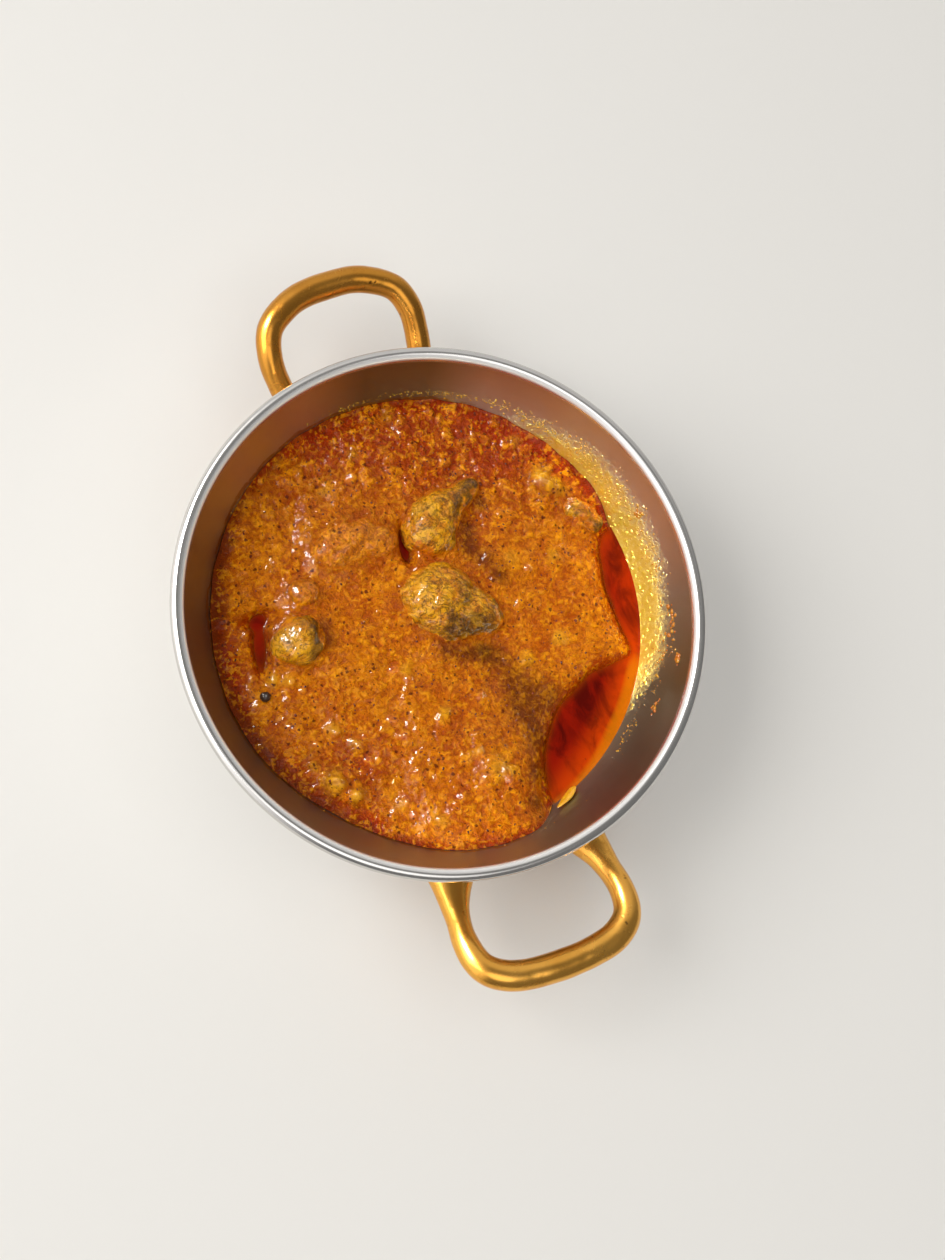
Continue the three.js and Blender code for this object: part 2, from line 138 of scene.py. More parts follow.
def makeStudio():
    for name, (place, size, power) in studio["lights"].items():
        makeLight(name, place, size, power)
    world = bpy.data.worlds.new("studio")
    bpy.context.scene.world = world
    world.use_nodes = True
    tree = world.node_tree
    tree.nodes.clear()
    direction = add(tree, "TexCoord").outputs["Generated"]
    height = add(tree, "SeparateXYZ", {"Vector": direction}).outputs["Z"]
    # How bright it is depends on the way one looks, level; straight up it fades to one value
    level, dark = levelWay(tree, direction), studio["darkSide"]
    bright = vectorMath(tree, "DOT_PRODUCT", level, studio["brightWay"])
    bright = stepped(tree, bright, 0.5, 0.97, dark, studio["brightSide"])
    rear = vectorMath(tree, "DOT_PRODUCT", level, studio["backWay"])
    rear = stepped(tree, rear, 0.0, 0.85, dark, studio["backSide"])
    side = math2(tree, "MAXIMUM", bright, rear)
    upwards = stepped(tree, height, 0.80, 0.97)
    ramp = add(tree, "Mix", {0: upwards, 2: side, 3: studio["overhead"]}, data_type="FLOAT")
    patch = vectorMath(tree, "DOT_PRODUCT", direction, studio["patchWay"])
    patch = stepped(tree, patch, 0.91, 0.985, 0.0, studio["patch"])
    matt = add(tree, "LightPath").outputs["Is Diffuse Ray"]
    strength = times(tree, plus(tree, ramp.outputs[0], patch), lessened(tree, matt, 0.5))
    sky = add(tree, "Background", {"Color": studio["skyColor"], "Strength": strength})
    add(tree, "OutputWorld", {"Surface": sky.outputs[0]})
    half = studio["floorHalf"]
    corners = np.array([[(x, y, 0) for x in (-half, half)] for y in (-half, half)], float)
    floor = surface("floor", corners, plainFloor(), flip=True)


def give(tree, node, inputs):
    # Links each socket that is given another socket, and sets the others to their values
    for socket, value in inputs.items():
        if isinstance(value, bpy.types.NodeSocket):
            tree.links.new(value, node.inputs[socket])
        else:
            node.inputs[socket].default_value = value


def add(tree, kind, inputs=None, **settings):
    # kind is the node's type without the word ShaderNode
    node = tree.nodes.new("ShaderNode" + kind)
    for key, value in settings.items():
        setattr(node, key, value)
    give(tree, node, inputs or {})
    return node


def srgb(red, green, blue):
    # A colour read off a screen, 0 to 255, as the linear values that Blender takes
    c = np.array([red, green, blue]) / 255
    return (*np.where(c <= 0.04045, c / 12.92, ((c + 0.055) / 1.055) ** 2.4), 1.0)


def mixed(tree, factor, first, second):
    inputs = {0: factor, 6: first, 7: second}
    return add(tree, "Mix", inputs, data_type="RGBA", clamp_factor=True).outputs[2]


def tinted(tree, color, mask, strength, tint):
    # The colour mixed with a tint where the mask is, as far as strength allows
    return mixed(tree, times(tree, mask, strength), color, tint)


def math2(tree, operation, first, second=0.0, clamp=False):
    return add(tree, "Math", {0: first, 1: second}, operation=operation, use_clamp=clamp).outputs[0]


def times(tree, first, second):
    return math2(tree, "MULTIPLY", first, second)


def plus(tree, first, second):
    return math2(tree, "ADD", first, second)


def minus(tree, first, second, clamp=False):
    return math2(tree, "SUBTRACT", first, second, clamp)


def lessened(tree, mask, share):
    # 1 where the mask is 0, and less by that share where it is 1
    return minus(tree, 1.0, times(tree, mask, share))


def swing(tree, value, reach):
    # A value round 0.5 as one round 0
    return times(tree, minus(tree, value, 0.5), reach)


def vectorMath(tree, operation, first, second=(0, 0, 0)):
    node = add(tree, "VectorMath", {0: first, 1: second}, operation=operation)
    return node.outputs["Value" if operation in ("DOT_PRODUCT", "DISTANCE") else "Vector"]


def levelWay(tree, vector):
    # The vector without its height, at length 1
    return vectorMath(tree, "NORMALIZE", vectorMath(tree, "MULTIPLY", vector, (1, 1, 0)))


def stepped(tree, value, low, high, toLow=0.0, toHigh=1.0):
    # A smooth rise from toLow at low to toHigh at high
    node = add(tree, "MapRange", {
        "Value": value, "From Min": low, "From Max": high, "To Min": toLow, "To Max": toHigh,
    }, interpolation_type="SMOOTHSTEP")
    return node.outputs[0]


def noise(tree, vector, size, detail=3.0, roughness=0.5, distortion=0.0):
    # Noise whose features are about size millimetres across
    node = add(tree, "TexNoise", {
        "Vector": vector, "Scale": 1 / (size * mm), "Detail": detail, "Roughness": roughness,
        "Distortion": distortion,
    })
    return node.outputs["Fac"]


def attribute(tree, name):
    return add(tree, "Attribute", attribute_name=name).outputs["Fac"]


def newMaterial(name):
    material = bpy.data.materials.new(name)
    material.use_nodes = True
    tree = material.node_tree
    tree.nodes.clear()
    shader = add(tree, "BsdfPrincipled")
    add(tree, "OutputMaterial", {"Surface": shader.outputs[0]})
    place = add(tree, "TexCoord").outputs["Object"]
    return material, tree, shader, place


def bumped(tree, shader, height, strength, distance, normal=None):
    # distance is in millimetres
    inputs = {"Height": height, "Strength": strength, "Distance": distance * mm}
    if normal is not None:
        inputs["Normal"] = normal
    bump = add(tree, "Bump", inputs).outputs[0]
    give(tree, shader, {"Normal": bump})
    return bump


def newGroup(name, inputs, output):
    # inputs: name, type and default. All the groups have one number as their output
    tree = bpy.data.node_groups.new(name, "ShaderNodeTree")
    for label, kind, value in inputs:
        made = tree.interface.new_socket(label, in_out="INPUT", socket_type="NodeSocket" + kind)
        if value is not None:
            made.default_value = value
    tree.interface.new_socket(output, in_out="OUTPUT", socket_type="NodeSocketFloat")
    return tree, tree.nodes.new("NodeGroupInput").outputs, tree.nodes.new("NodeGroupOutput")


def specksGroup():
    # Ragged spots: one in each Voronoi cell whose random number is under Amount, of random width
    tree, given, out = newGroup("specks", [
        ("Vector", "Vector", None), ("Scale", "Float", 500.0), ("Amount", "Float", 0.4),
        ("Width", "Float", 0.3),
    ], "Mask")
    ragged = add(tree, "TexNoise", {"Vector": given["Vector"], "Scale": 900.0, "Detail": 3.0})
    inputs = {0: ragged.outputs["Color"], 1: (0.0014, 0.0014, 0.0014), 2: given["Vector"]}
    moved = add(tree, "VectorMath", inputs, operation="MULTIPLY_ADD").outputs[0]
    cell = add(tree, "TexVoronoi", {"Vector": moved, "Scale": given["Scale"], "Randomness": 1.0})
    parts = add(tree, "SeparateColor", {"Color": cell.outputs["Color"]})
    chosen = math2(tree, "LESS_THAN", parts.outputs[0], given["Amount"])
    width = times(tree, given["Width"], plus(tree, parts.outputs[1], 0.4))
    spot = stepped(tree, math2(tree, "DIVIDE", cell.outputs["Distance"], width), 1.0, 0.6)
    give(tree, out, {"Mask": times(tree, spot, chosen)})
    return tree


def placed(tree, group, inputs):
    return add(tree, "Group", inputs, node_tree=group).outputs[0]


specks = specksGroup()


def meshFrom(name, points, faces, material, values=None):
    # points in millimetres; faces is a list of whole-number arrays, one row for each face
    mesh = bpy.data.meshes.new(name)
    mesh.vertices.add(len(points))
    mesh.vertices.foreach_set("co", (np.asarray(points) * mm).astype(np.float32).ravel())
    corners = np.concatenate([f.ravel() for f in faces]).astype(np.int32)
    counts = np.concatenate([np.full(len(f), f.shape[1]) for f in faces])
    mesh.loops.add(len(corners))
    mesh.loops.foreach_set("vertex_index", corners)
    mesh.polygons.add(len(counts))
    starts = np.concatenate([[0], np.cumsum(counts)[:-1]]).astype(np.int32)
    mesh.polygons.foreach_set("loop_start", starts)
    mesh.update(calc_edges=True)
    mesh.validate()
    mesh.shade_smooth()
    for key, value in (values or {}).items():
        layer = mesh.attributes.new(key, "FLOAT", "POINT")
        layer.data.foreach_set("value", np.asarray(value, np.float32).ravel())
    mesh.materials.append(material)
    piece = bpy.data.objects.new(name, mesh)
    bpy.context.scene.collection.objects.link(piece)
    return piece


def gridFaces(index):
    # Four-sided faces between neighbouring entries of a grid of vertex numbers
    corners = [index[:-1, :-1], index[1:, :-1], index[1:, 1:], index[:-1, 1:]]
    return np.stack(corners, -1).reshape(-1, 4)


def gridEdge(index):
    # The outermost entries of such a grid, in turn
    return np.concatenate([index[:-1, 0], index[-1, :-1], index[:0:-1, -1], index[0, :0:-1]])


def surface(name, points, material, values=None, closed=False, poles=False, flip=False):
    # A grid of points as a skin. closed joins the last column to the first, and poles makes the
    # first and last rows one point each.
    rows, columns = points.shape[:2]
    index = np.arange(rows * columns).reshape(rows, columns)
    flat = points.reshape(-1, 3)
    keep = np.ones(rows * columns, bool)
    faces = []
    if poles:
        keep[1:columns] = keep[-columns + 1:] = False
    number = np.cumsum(keep) - 1
    index = number[index]
    if poles:
        index[0, :] = index[0, 0]
        index[-1, :] = number[(rows - 1) * columns]
    if closed:
        index = np.concatenate([index, index[:, :1]], 1)
    if poles:
        faces.append(np.stack([index[0, :-1], index[1, :-1], index[1, 1:]], -1))
        faces.append(np.stack([index[-2, :-1], index[-1, :-1], index[-2, 1:]], -1))
        faces.append(gridFaces(index[1:-1]))
    else:
        faces.append(gridFaces(index))
    if flip:
        faces = [f[:, ::-1] for f in faces]
    values = {key: np.asarray(value).reshape(-1)[keep] for key, value in (values or {}).items()}
    return meshFrom(name, flat[keep], faces, material, values)


def onCircle(radius, turn):
    # x and y at a distance and an angle from the middle
    return radius * np.cos(turn), radius * np.sin(turn)


def ballWays(around, along):
    # The directions of a ball's grid: along goes from straight up to straight down
    turn = np.linspace(0, 2 * math.pi, around, endpoint=False)
    polar = np.linspace(0, math.pi, along)[:, None]
    return np.stack([*onCircle(np.sin(polar), turn), np.cos(polar) + 0 * turn], -1)


def settle(piece, slot, *nodes):
    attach(piece, "root")
    if nodes:
        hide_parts(*nodes)


def hashed(ix, iy, iz, seed):
    # A random number from 0 to 1 for each cell: its whole numbers mixed as 64-bit integers
    h = (ix.astype(np.int64) * 374761393 + iy.astype(np.int64) * 668265263
         + iz.astype(np.int64) * 1440662683 + seed * 974634777).astype(np.uint64)
    h = (h ^ (h >> np.uint64(13))) * np.uint64(1274126177)
    h = (h ^ (h >> np.uint64(16))) * np.uint64(2246822519)
    return ((h >> np.uint64(20)) & np.uint64(0xFFFFFF)).astype(float) / 0xFFFFFF


def softNoise(x, y, z, seed=0):
    # Random values at whole-number corners, joined by smooth steps, from -1 to 1
    x, y, z = np.broadcast_arrays(x, y, z)
    ix, iy, iz = np.floor(x), np.floor(y), np.floor(z)
    fx, fy, fz = x - ix, y - iy, z - iz
    sx, sy, sz = (f * f * f * (f * (f * 6 - 15) + 10) for f in (fx, fy, fz))
    total = np.zeros(x.shape)
    for dx, wx in ((0, 1 - sx), (1, sx)):
        for dy, wy in ((0, 1 - sy), (1, sy)):
            for dz, wz in ((0, 1 - sz), (1, sz)):
                total += wx * wy * wz * hashed(ix + dx, iy + dy, iz + dz, seed)
    return total * 2 - 1


def cloud(x, y, z, size, octaves=3, seed=0):
    # Soft noise of one size and of its halves, each half as strong as the last
    total, strength = 0, 1.0
    for octave in range(octaves):
        k = 2 ** octave / size
        fine = softNoise(x * k + 17.3 * octave, y * k - 9.1 * octave, z * k, seed + octave)
        total = total + strength * fine
        strength /= 2
    return total


def cells(x, y, size, seed):
    # One point in each square cell, set at random. Gives the distance to the nearest one, as a
    # share of the cell, and two random numbers that belong to it.
    x, y = np.broadcast_arrays(x / size, y / size)
    ix, iy = np.floor(x), np.floor(y)
    zero = np.zeros(x.shape)
    nearest = np.full(x.shape, 9.0)
    first, second = zero.copy(), zero.copy()
    for dx in (-1, 0, 1):
        for dy in (-1, 0, 1):
            cx, cy = ix + dx, iy + dy
            px = cx + 0.15 + 0.7 * hashed(cx, cy, zero, seed)
            py = cy + 0.15 + 0.7 * hashed(cx, cy, zero + 1, seed)
            distance = np.hypot(px - x, py - y)
            closer = distance < nearest
            nearest = np.where(closer, distance, nearest)
            first = np.where(closer, hashed(cx, cy, zero + 2, seed), first)
            second = np.where(closer, hashed(cx, cy, zero + 3, seed), second)
    return nearest, first, second


def turnedTo(x, y, middle, turn, halves):
    # x and y measured from a middle along two turned axes, in units of two half sizes
    c, s = math.cos(math.radians(turn)), math.sin(math.radians(turn))
    x, y = x - middle[0], y - middle[1]
    return (x * c + y * s) / halves[0], (y * c - x * s) / halves[1]


def smoothstep(low, high, value):
    t = np.clip((value - low) / (high - low), 0, 1)
    return t * t * (3 - 2 * t)


def arc(middle, radius, start, end, count):
    # Points of a circle from angle start to end, 0 pointing down and growing outwards and up
    angle = np.linspace(start, end, count)
    return np.stack([middle[0] + radius * np.sin(angle), middle[1] - radius * np.cos(angle)], -1)


def levelLine(start, end, height, count):
    # Points of a level line
    return np.stack([np.linspace(start, end, count), np.full(count, height)], -1)


knuckleTop = arc(arcMiddle, dish["wallArc"], dish["footLean"], dish["footLean"], 1)[0]
knuckleMiddle = (
    knuckleTop[0] - dish["knuckleArc"] * math.sin(dish["footLean"]),
    knuckleTop[1] + dish["knuckleArc"] * math.cos(dish["footLean"]),
)


def innerRadius(z):
    # The wall's arc turned round: the radius at a height
    lean = np.arccos(np.clip((arcMiddle[1] - z) / dish["wallArc"], -1, 1))
    return arcMiddle[0] + dish["wallArc"] * np.sin(lean)


def outerRadius(z):
    outer = dish["wallArc"] + dish["wall"]
    lean = np.arccos(np.clip((arcMiddle[1] - z) / outer, -1, 1))
    return arcMiddle[0] + outer * np.sin(lean)


def makeBowl():
    # The sheet's profile turned about Z: floor, knuckle, wall, rolled edge, and back down outside
    wall, knuckle = dish["wallArc"], dish["knuckleArc"]
    foot, top, thick, bead = dish["footLean"], dish["topLean"], dish["wall"], dish["bead"] / 2
    inner = np.concatenate([
        levelLine(0, knuckleMiddle[0], knuckleMiddle[1] - knuckle, 8)[:-1],
        arc(knuckleMiddle, knuckle, 0, foot, 8)[:-1],
        arc(arcMiddle, wall, foot, top, 56),
    ])
    rimStart = -math.pi / 2
    edge = arc((wallTop + bead, rimTop), bead, rimStart, rimStart - dish["beadTurn"], 34)[1:]
    outer = np.concatenate([
        arc(arcMiddle, wall + thick, top - dish["outsideStart"], foot, 40),
        arc(knuckleMiddle, knuckle + thick, foot, 0, 8)[1:],
        levelLine(knuckleMiddle[0], 0, knuckleMiddle[1] - knuckle - thick, 6)[1:],
    ])
    profile = np.concatenate([inner, edge, outer])
    turn = np.linspace(0, 2 * math.pi, dish["around"], endpoint=False)
    x, y = onCircle(profile[:, :1], turn)
    z = profile[:, 1:] + 0 * turn
    along = np.concatenate([[0], np.cumsum(np.hypot(*np.diff(profile, axis=0).T))])
    row = np.arange(len(profile))
    isInner = (row < len(inner) - 1)[:, None]
    isBead = (row >= len(inner) - 1) & (row < len(inner) + len(edge))
    bowl = surface("karahiBowl", np.stack([x, y, z], -1), steelMaterial(), {
        "along": along[:, None] + 0 * turn,
        "bead": isBead[:, None] + 0 * turn,
        "filmAndReflection": np.where(isInner, wallFilmAndReflection(x, y, z), 0),
        "grease": np.where(isInner, greaseLine(x, y, z), 0),
        "shadeAndReflection": np.where(isInner, wallShadeAndReflection(x, y), 0),
        "lip": smoothstep(5, 1, np.abs(row - len(inner) - 3))[:, None] + 0 * turn,
    }, closed=True, poles=True)
    settle(bowl, "steel", "bowl")


def wallAngle(x, y):
    return np.degrees(np.arctan2(y, x))


wallOilAndReflection = {
    "starts": (-62, -20),  # the angles over which it thickens, and those over which it ends
    "ends": (34, 66),
    "top": 43.2,  # how high it goes at its middle angle
    "middle": 14,
    "droop": 0.0030,  # how much lower it is towards its sides
    "fade": (6.5, -8.5),  # over which heights round its top it fades
}


def wallFilmAndReflection(x, y, z):
    # Yellow on the right wall, partly a thin oil film and partly painted reflection of the masala:
    # full between two angles and thinning out upwards
    angle = wallAngle(x, y)
    spread = smoothstep(*wallOilAndReflection["starts"], angle) * (1 - smoothstep(*wallOilAndReflection["ends"], angle))
    top = wallOilAndReflection["top"] - wallOilAndReflection["droop"] * (angle - wallOilAndReflection["middle"]) ** 2
    return spread * smoothstep(*wallOilAndReflection["fade"], z - (top + 1.4 * cloud(x, y, z, 12, 3, seed=5)))


# How far the wall is darkened towards olive brown at each angle, 0 to 1: painted reflection of
# the food and painted shade
wallTints = (
    (-180, 0.66), (-150, 0.68), (-125, 0.66), (-100, 0.62), (-80, 0.7), (-60, 0.9), (-35, 1.0),
    (-14, 0.8), (6, 0.15), (40, 0.0), (60, 0.1), (74, 0.8), (90, 0.85), (106, 0.1), (128, 0.0),
    (150, 0.5), (180, 0.7),
)


def wallShadeAndReflection(x, y):
    angles, tints = zip(*wallTints)
    return np.interp(wallAngle(x, y), angles, tints)


def greaseLine(x, y, z):
    # A thin line of fat just over the masala, all round but for the pool's side
    ground = np.maximum(masalaHeight(x, y), oilLevel)
    angle = wallAngle(x, y)
    edge = ground + 1.3 + 1.0 * cloud(x, y, z, 9, 3, seed=8)
    fade = 1 - 0.85 * smoothstep(-95, -60, angle) * (1 - smoothstep(48, 74, angle))
    return fade * smoothstep(1.5, 0.15, np.abs(z - edge))


steelColors = {
    "metal": ((0.62, 0.60, 0.575, 1), (0.72, 0.70, 0.68, 1)),
    # painted reflection of the food and painted shade on the wall
    "shadeAndReflection": (0.185, 0.205, 0.15, 1),
    "filmAndReflection": srgb(250, 230, 116),
    "thickFilmAndReflection": srgb(222, 190, 20),
    "drops": srgb(250, 226, 96),
    "grease": srgb(170, 134, 44),
    "lip": (0.86, 0.85, 0.84, 1),  # painted highlight where the wall turns into the bead
}


def steelMaterial():
    material, tree, shader, place = newMaterial("satinSteel")
    along = attribute(tree, "along")
    # Spun lines: noise that is long round the bowl and short along its profile
    split = add(tree, "SeparateXYZ", {"Vector": levelWay(tree, place)})
    ring = add(tree, "CombineXYZ", {
        "X": times(tree, split.outputs["X"], 1.6), "Y": times(tree, split.outputs["Y"], 1.6),
        "Z": times(tree, along, 3.2),
    }).outputs[0]
    lines = add(tree, "TexNoise", {"Vector": ring, "Scale": 1.0, "Detail": 4.0, "Roughness": 0.7})
    lines = lines.outputs["Fac"]
    smudge = noise(tree, place, 22, 4, 0.6)
    bead, filmAndReflection, lip = attribute(tree, "bead"), attribute(tree, "filmAndReflection"), attribute(tree, "lip")
    ragged = noise(tree, place, 2.0, 5, 0.7)
    patchy = plus(tree, filmAndReflection, swing(tree, ragged, 1.3))
    shown = stepped(tree, filmAndReflection, 0.02, 0.35)
    filmAndReflectionMask = times(tree, stepped(tree, patchy, 0.15, 0.95), shown)
    thick = times(tree, stepped(tree, patchy, 0.6, 1.25), shown)
    crowd = stepped(tree, filmAndReflection, 0.1, 0.5, 0.0, 0.3)
    drops = {"Vector": place, "Scale": 700.0, "Amount": crowd, "Width": 0.45}
    drops = placed(tree, specks, drops)
    greased = times(tree, attribute(tree, "grease"), plus(tree, ragged, 0.15))
    greased = stepped(tree, greased, 0.30, 0.52)
    color = mixed(tree, smudge, *steelColors["metal"])
    # Painted reflection and painted shade: the wall darkened towards olive brown by angle
    color = mixed(tree, attribute(tree, "shadeAndReflection"), color, steelColors["shadeAndReflection"])
    # Yellow film: partly oil, partly painted reflection of the masala. The drops are real.
    color = tinted(tree, color, filmAndReflectionMask, 0.9, steelColors["filmAndReflection"])
    color = tinted(tree, color, thick, 0.8, steelColors["thickFilmAndReflection"])
    color = tinted(tree, color, drops, 0.7, steelColors["drops"])
    color = tinted(tree, color, greased, 0.7, steelColors["grease"])
    # Painted highlight: a pale, less metallic line where the wall turns into the bead
    color = mixed(tree, lip, color, steelColors["lip"])
    rough = plus(tree, times(tree, lines, 0.26), times(tree, smudge, 0.10))
    rough = minus(tree, plus(tree, rough, 0.24), times(tree, bead, 0.24))
    rough = minus(tree, rough, times(tree, filmAndReflectionMask, 0.10), clamp=True)
    tangent = add(tree, "Tangent", direction_type="RADIAL", axis="Z").outputs[0]
    give(tree, shader, {
        "Base Color": color, "Roughness": rough, "Anisotropic": 0.6, "Tangent": tangent,
        "Metallic": times(tree, lessened(tree, thick, 0.3), lessened(tree, lip, 0.75)),
    })
    brushed = bumped(tree, shader, times(tree, lines, lessened(tree, bead, 0.8)), 0.34, 0.08)
    wetness = plus(tree, times(tree, ragged, filmAndReflectionMask), times(tree, drops, 0.6))
    bumped(tree, shader, wetness, 0.6, 0.45, brushed)
    return material


handleShape = {
    "footBelowRim": 31.0,
    "barBelowRim": 16.0,
    "wallHeight": 28,  # where the wall's radius is taken
    "footHeight": 15.0,
    "footPad": 5.0,
    "steps": (260, 72),  # points along the loop and round its section
}
backHandle = {
    "reach": 120.2,  # from the bowl's axis to the outside of the bar
    "legs": (20, 20.8, 25, 25.4),  # middle to leg: in the wall, beside it, halfway and at the bar
    "corner": (3, 10),  # how far the corner's two points lie in from there
    "leg": 7.9,
    "bar": 8.9,
    "barHeight": 8.4,
    "foot": 19,
    "flareLength": 15,
    "flareCurve": 1.7,
    "aside": 3.5,
    "turned": 5.2,
}
frontHandle = {
    "reach": 120.7,
    "legs": (23, 21.6, 25.6, 26.8),
    "corner": (1.9, 7.8),
    "leg": 7.5,
    "bar": 9.6,
    "barHeight": 8.8,
    "foot": 26,
    "flareLength": 28,
    "flareCurve": 1.85,
    "aside": -2,
    "turned": -0.5,
}


def blended(t, start, end, first, second):
    # first where t is start and second where t is end, in a straight line
    return (first * (end - t) + second * (t - start)) / (end - start)


def curveThrough(points, count):
    # A centripetal Catmull-Rom curve through the points, at even steps along its length
    ends = [2 * points[0] - points[1]], [2 * points[-1] - points[-2]]
    p = np.concatenate([ends[0], points, ends[1]])
    knots = np.concatenate([[0], np.cumsum(np.linalg.norm(np.diff(p, axis=0), axis=1) ** 0.5)])
    pieces = []
    for i in range(1, len(p) - 2):
        t = np.linspace(knots[i], knots[i + 1], 60)[:, None]
        k = knots[i - 1:i + 3]
        a = [blended(t, k[j], k[j + 1], p[i - 1 + j], p[i + j]) for j in range(3)]
        b = [blended(t, k[j], k[j + 2], a[j], a[j + 1]) for j in range(2)]
        pieces.append(blended(t, k[1], k[2], *b)[:-1])
    fine = np.concatenate(pieces + [points[-1:]])
    length = np.concatenate([[0], np.cumsum(np.linalg.norm(np.diff(fine, axis=0), axis=1))])
    even = np.linspace(0, length[-1], count)
    return np.stack([np.interp(even, length, fine[:, axis]) for axis in range(3)], -1)


def makeHandle(name, node, size, way, material):
    # An oval section carried along the loop. It swells into flared feet, which stop in the wall.
    bar = size["reach"] - size["bar"] / 2
    low = dish["height"] - handleShape["footBelowRim"]
    high = dish["height"] - handleShape["barBelowRim"]
    atWall = innerRadius(handleShape["wallHeight"])
    inWall, byWall, halfway, wide = size["legs"]
    # Half of the loop seen from above, sideways and outwards. It rises smoothly on its way out.
    half = [(inWall, atWall - 7), (byWall, atWall + 4), (halfway, atWall + 21), (wide, bar - 15),
            (wide - size["corner"][0], bar - 7.5), (wide - size["corner"][1], bar - 2.7),
            (wide - 16, bar - 0.6)]
    outline = np.array(half + [(0, bar)] + [(-u, v) for u, v in half[::-1]], float)
    t = np.clip((outline[:, 1] - atWall) / (bar - atWall), 0, 1)
    rising = low + (high - low) * t * t * (3 - 2 * t)
    path = curveThrough(np.column_stack([outline, rising]), handleShape["steps"][0])
    tangent = unit(np.gradient(path, axis=0))
    across = unit(np.cross((0, 0, 1), tangent))
    normal = np.cross(tangent, across)
    fromWall = np.maximum(handleShape["footPad"], path[:, 1] - atWall)
    flare = np.maximum(0, 1 - fromWall / size["flareLength"]) ** size["flareCurve"]
    toward = np.clip((path[:, 1] - (bar - 22)) / 20, 0, 1)
    leg = size["leg"]
    width = leg + (size["bar"] - leg) * toward + (size["foot"] - leg) * flare
    height = leg + (size["barHeight"] - leg) * toward
    height += (handleShape["footHeight"] - leg) * flare
    turn = np.linspace(0, 2 * math.pi, handleShape["steps"][1], endpoint=False)
    c, d = np.cos(turn), np.sin(turn)
    points = (path[:, None] + across[:, None] * (width[:, None] / 2 * c)[..., None]
              + normal[:, None] * (height[:, None] / 2 * d)[..., None])
    seed = 3 if way > 0 else 11
    places = np.moveaxis(points, -1, 0)
    hand = cloud(*places, 15, 2, seed) * 0.2 + cloud(*places, 5, 2, seed + 4) * 0.05
    points = points + hand[..., None] * unit(points - path[:, None])
    c, s = math.cos(math.radians(size["turned"])), math.sin(math.radians(size["turned"]))
    x, y = points[..., 0].copy(), points[..., 1] - atWall
    points[..., 0] = x * c - y * s + size["aside"]
    points[..., 1] = x * s + y * c + atWall
    radius = np.hypot(points[..., 0], points[..., 1])
    stop = np.maximum(radius, outerRadius(points[..., 2]) - 0.5) / radius
    points[..., :2] *= stop[..., None] * way
    points[0], points[-1] = points[0].mean(0), points[-1].mean(0)
    handle = surface(name, points, material, closed=True, poles=True, flip=True)
    settle(handle, "brass", node)


brassColors = {
    "metal": (srgb(228, 158, 58), srgb(246, 188, 92)),
    "backHandleShade": srgb(178, 112, 34),  # painted shade: the back handle is darker and browner
    "dull": srgb(164, 98, 30),
    "pits": srgb(92, 52, 16),
}


def brassMaterial():
    material, tree, shader, place = newMaterial("castBrass")
    broad, fine = noise(tree, place, 16, 4, 0.6), noise(tree, place, 1.6, 5, 0.65)
    # Pits lie mostly at the front handle's right end
    worn = vectorMath(tree, "DISTANCE", place, (0.020, -0.108, 0.038))
    worn = stepped(tree, worn, 0.022, 0.004, 0.015, 0.30)
    pits = {"Vector": place, "Scale": 620.0, "Amount": worn, "Width": 0.30}
    pits = placed(tree, specks, pits)
    dull = stepped(tree, noise(tree, place, 7, 6, 0.7, 0.6), 0.5, 0.74)
    # Painted shade: the back handle darker, for the dark surroundings it reflects
    backHandleShade = add(tree, "SeparateXYZ", {"Vector": place}).outputs["Y"]
    backHandleShade = stepped(tree, backHandleShade, -0.05, 0.09)
    color = mixed(tree, broad, *brassColors["metal"])
    color = tinted(tree, color, backHandleShade, 0.6, brassColors["backHandleShade"])
    color = tinted(tree, color, dull, 0.5, brassColors["dull"])
    color = tinted(tree, color, pits, 0.7, brassColors["pits"])
    rough = plus(tree, plus(tree, times(tree, broad, 0.16), 0.15), times(tree, dull, 0.14))
    give(tree, shader, {"Base Color": color, "Metallic": 1.0, "Roughness": rough})
    stretch = {"Vector": place, "Scale": (0.12, 1.0, 1.0), "Rotation": (0, 0, 0.35)}
    hairs = noise(tree, add(tree, "Mapping", stretch).outputs[0], 0.28, 4, 0.7)
    height = plus(tree, times(tree, fine, 0.6), times(tree, hairs, 0.14))
    bumped(tree, shader, minus(tree, height, pits), 0.35, 0.12)
    return material


# Banks, lumps and hollows: place, two radii, turn in degrees, rise, and how square the edge is
relief = [
    (5, 64, 52, 20, 0, 2.8, 1),  # bank at the back
    (-3, -62, 26, 27, 0, 5.2, 1.6),  # bank at the front
    (-10, 2, 32, 36, 10, 2.2, 1),  # the middle is heaped
    (-50, -46, 24, 22, -40, -3.6, 1),  # low at the left front
    (-72, 10, 16, 34, 0, -2, 1),  # low at the left
    (-21, 33, 17, 11, 15, 1.4, 1.4),  # draped round a piece of meat
    (-38, 19, 9, 8, 0, 1, 1),
    (-43, 5, 12, 12, 0, 1.2, 1),
    (2, -51, 7, 10, -10, 1.8, 1.2),  # covered lumps
    (-45, -43, 9, 6, -35, 2.2, 1.2),
    (-52, -27, 5, 9, 15, 1.5, 1),
    (-30, -28, 10, 6, -30, 1, 1),
    (-14, -30, 10, 6, -40, 0.9, 1),
    (36, 4, 17, 23, 12, 2, 1.3),
    (50, 32, 7, 5.5, -35, 2.4, 1.2),
    (14, -14, 9, 5, -30, -1.4, 1),  # hollow under the middle piece
    (41, -55, 30, 18, 39, -12, 2.2),  # the main pool
    (73, -14, 13, 30, 4, -9, 2),  # its arm along the wall
    (-56.3, 8, 2.7, 9.5, -14, -5.2, 1.5),  # the left puddle
    (-54.4, 16.4, 5.6, 2.6, 6, -4, 1.5),
    (-1.3, 26.3, 1.9, 6.2, -8, -8.5, 1.4),  # the middle puddle
]


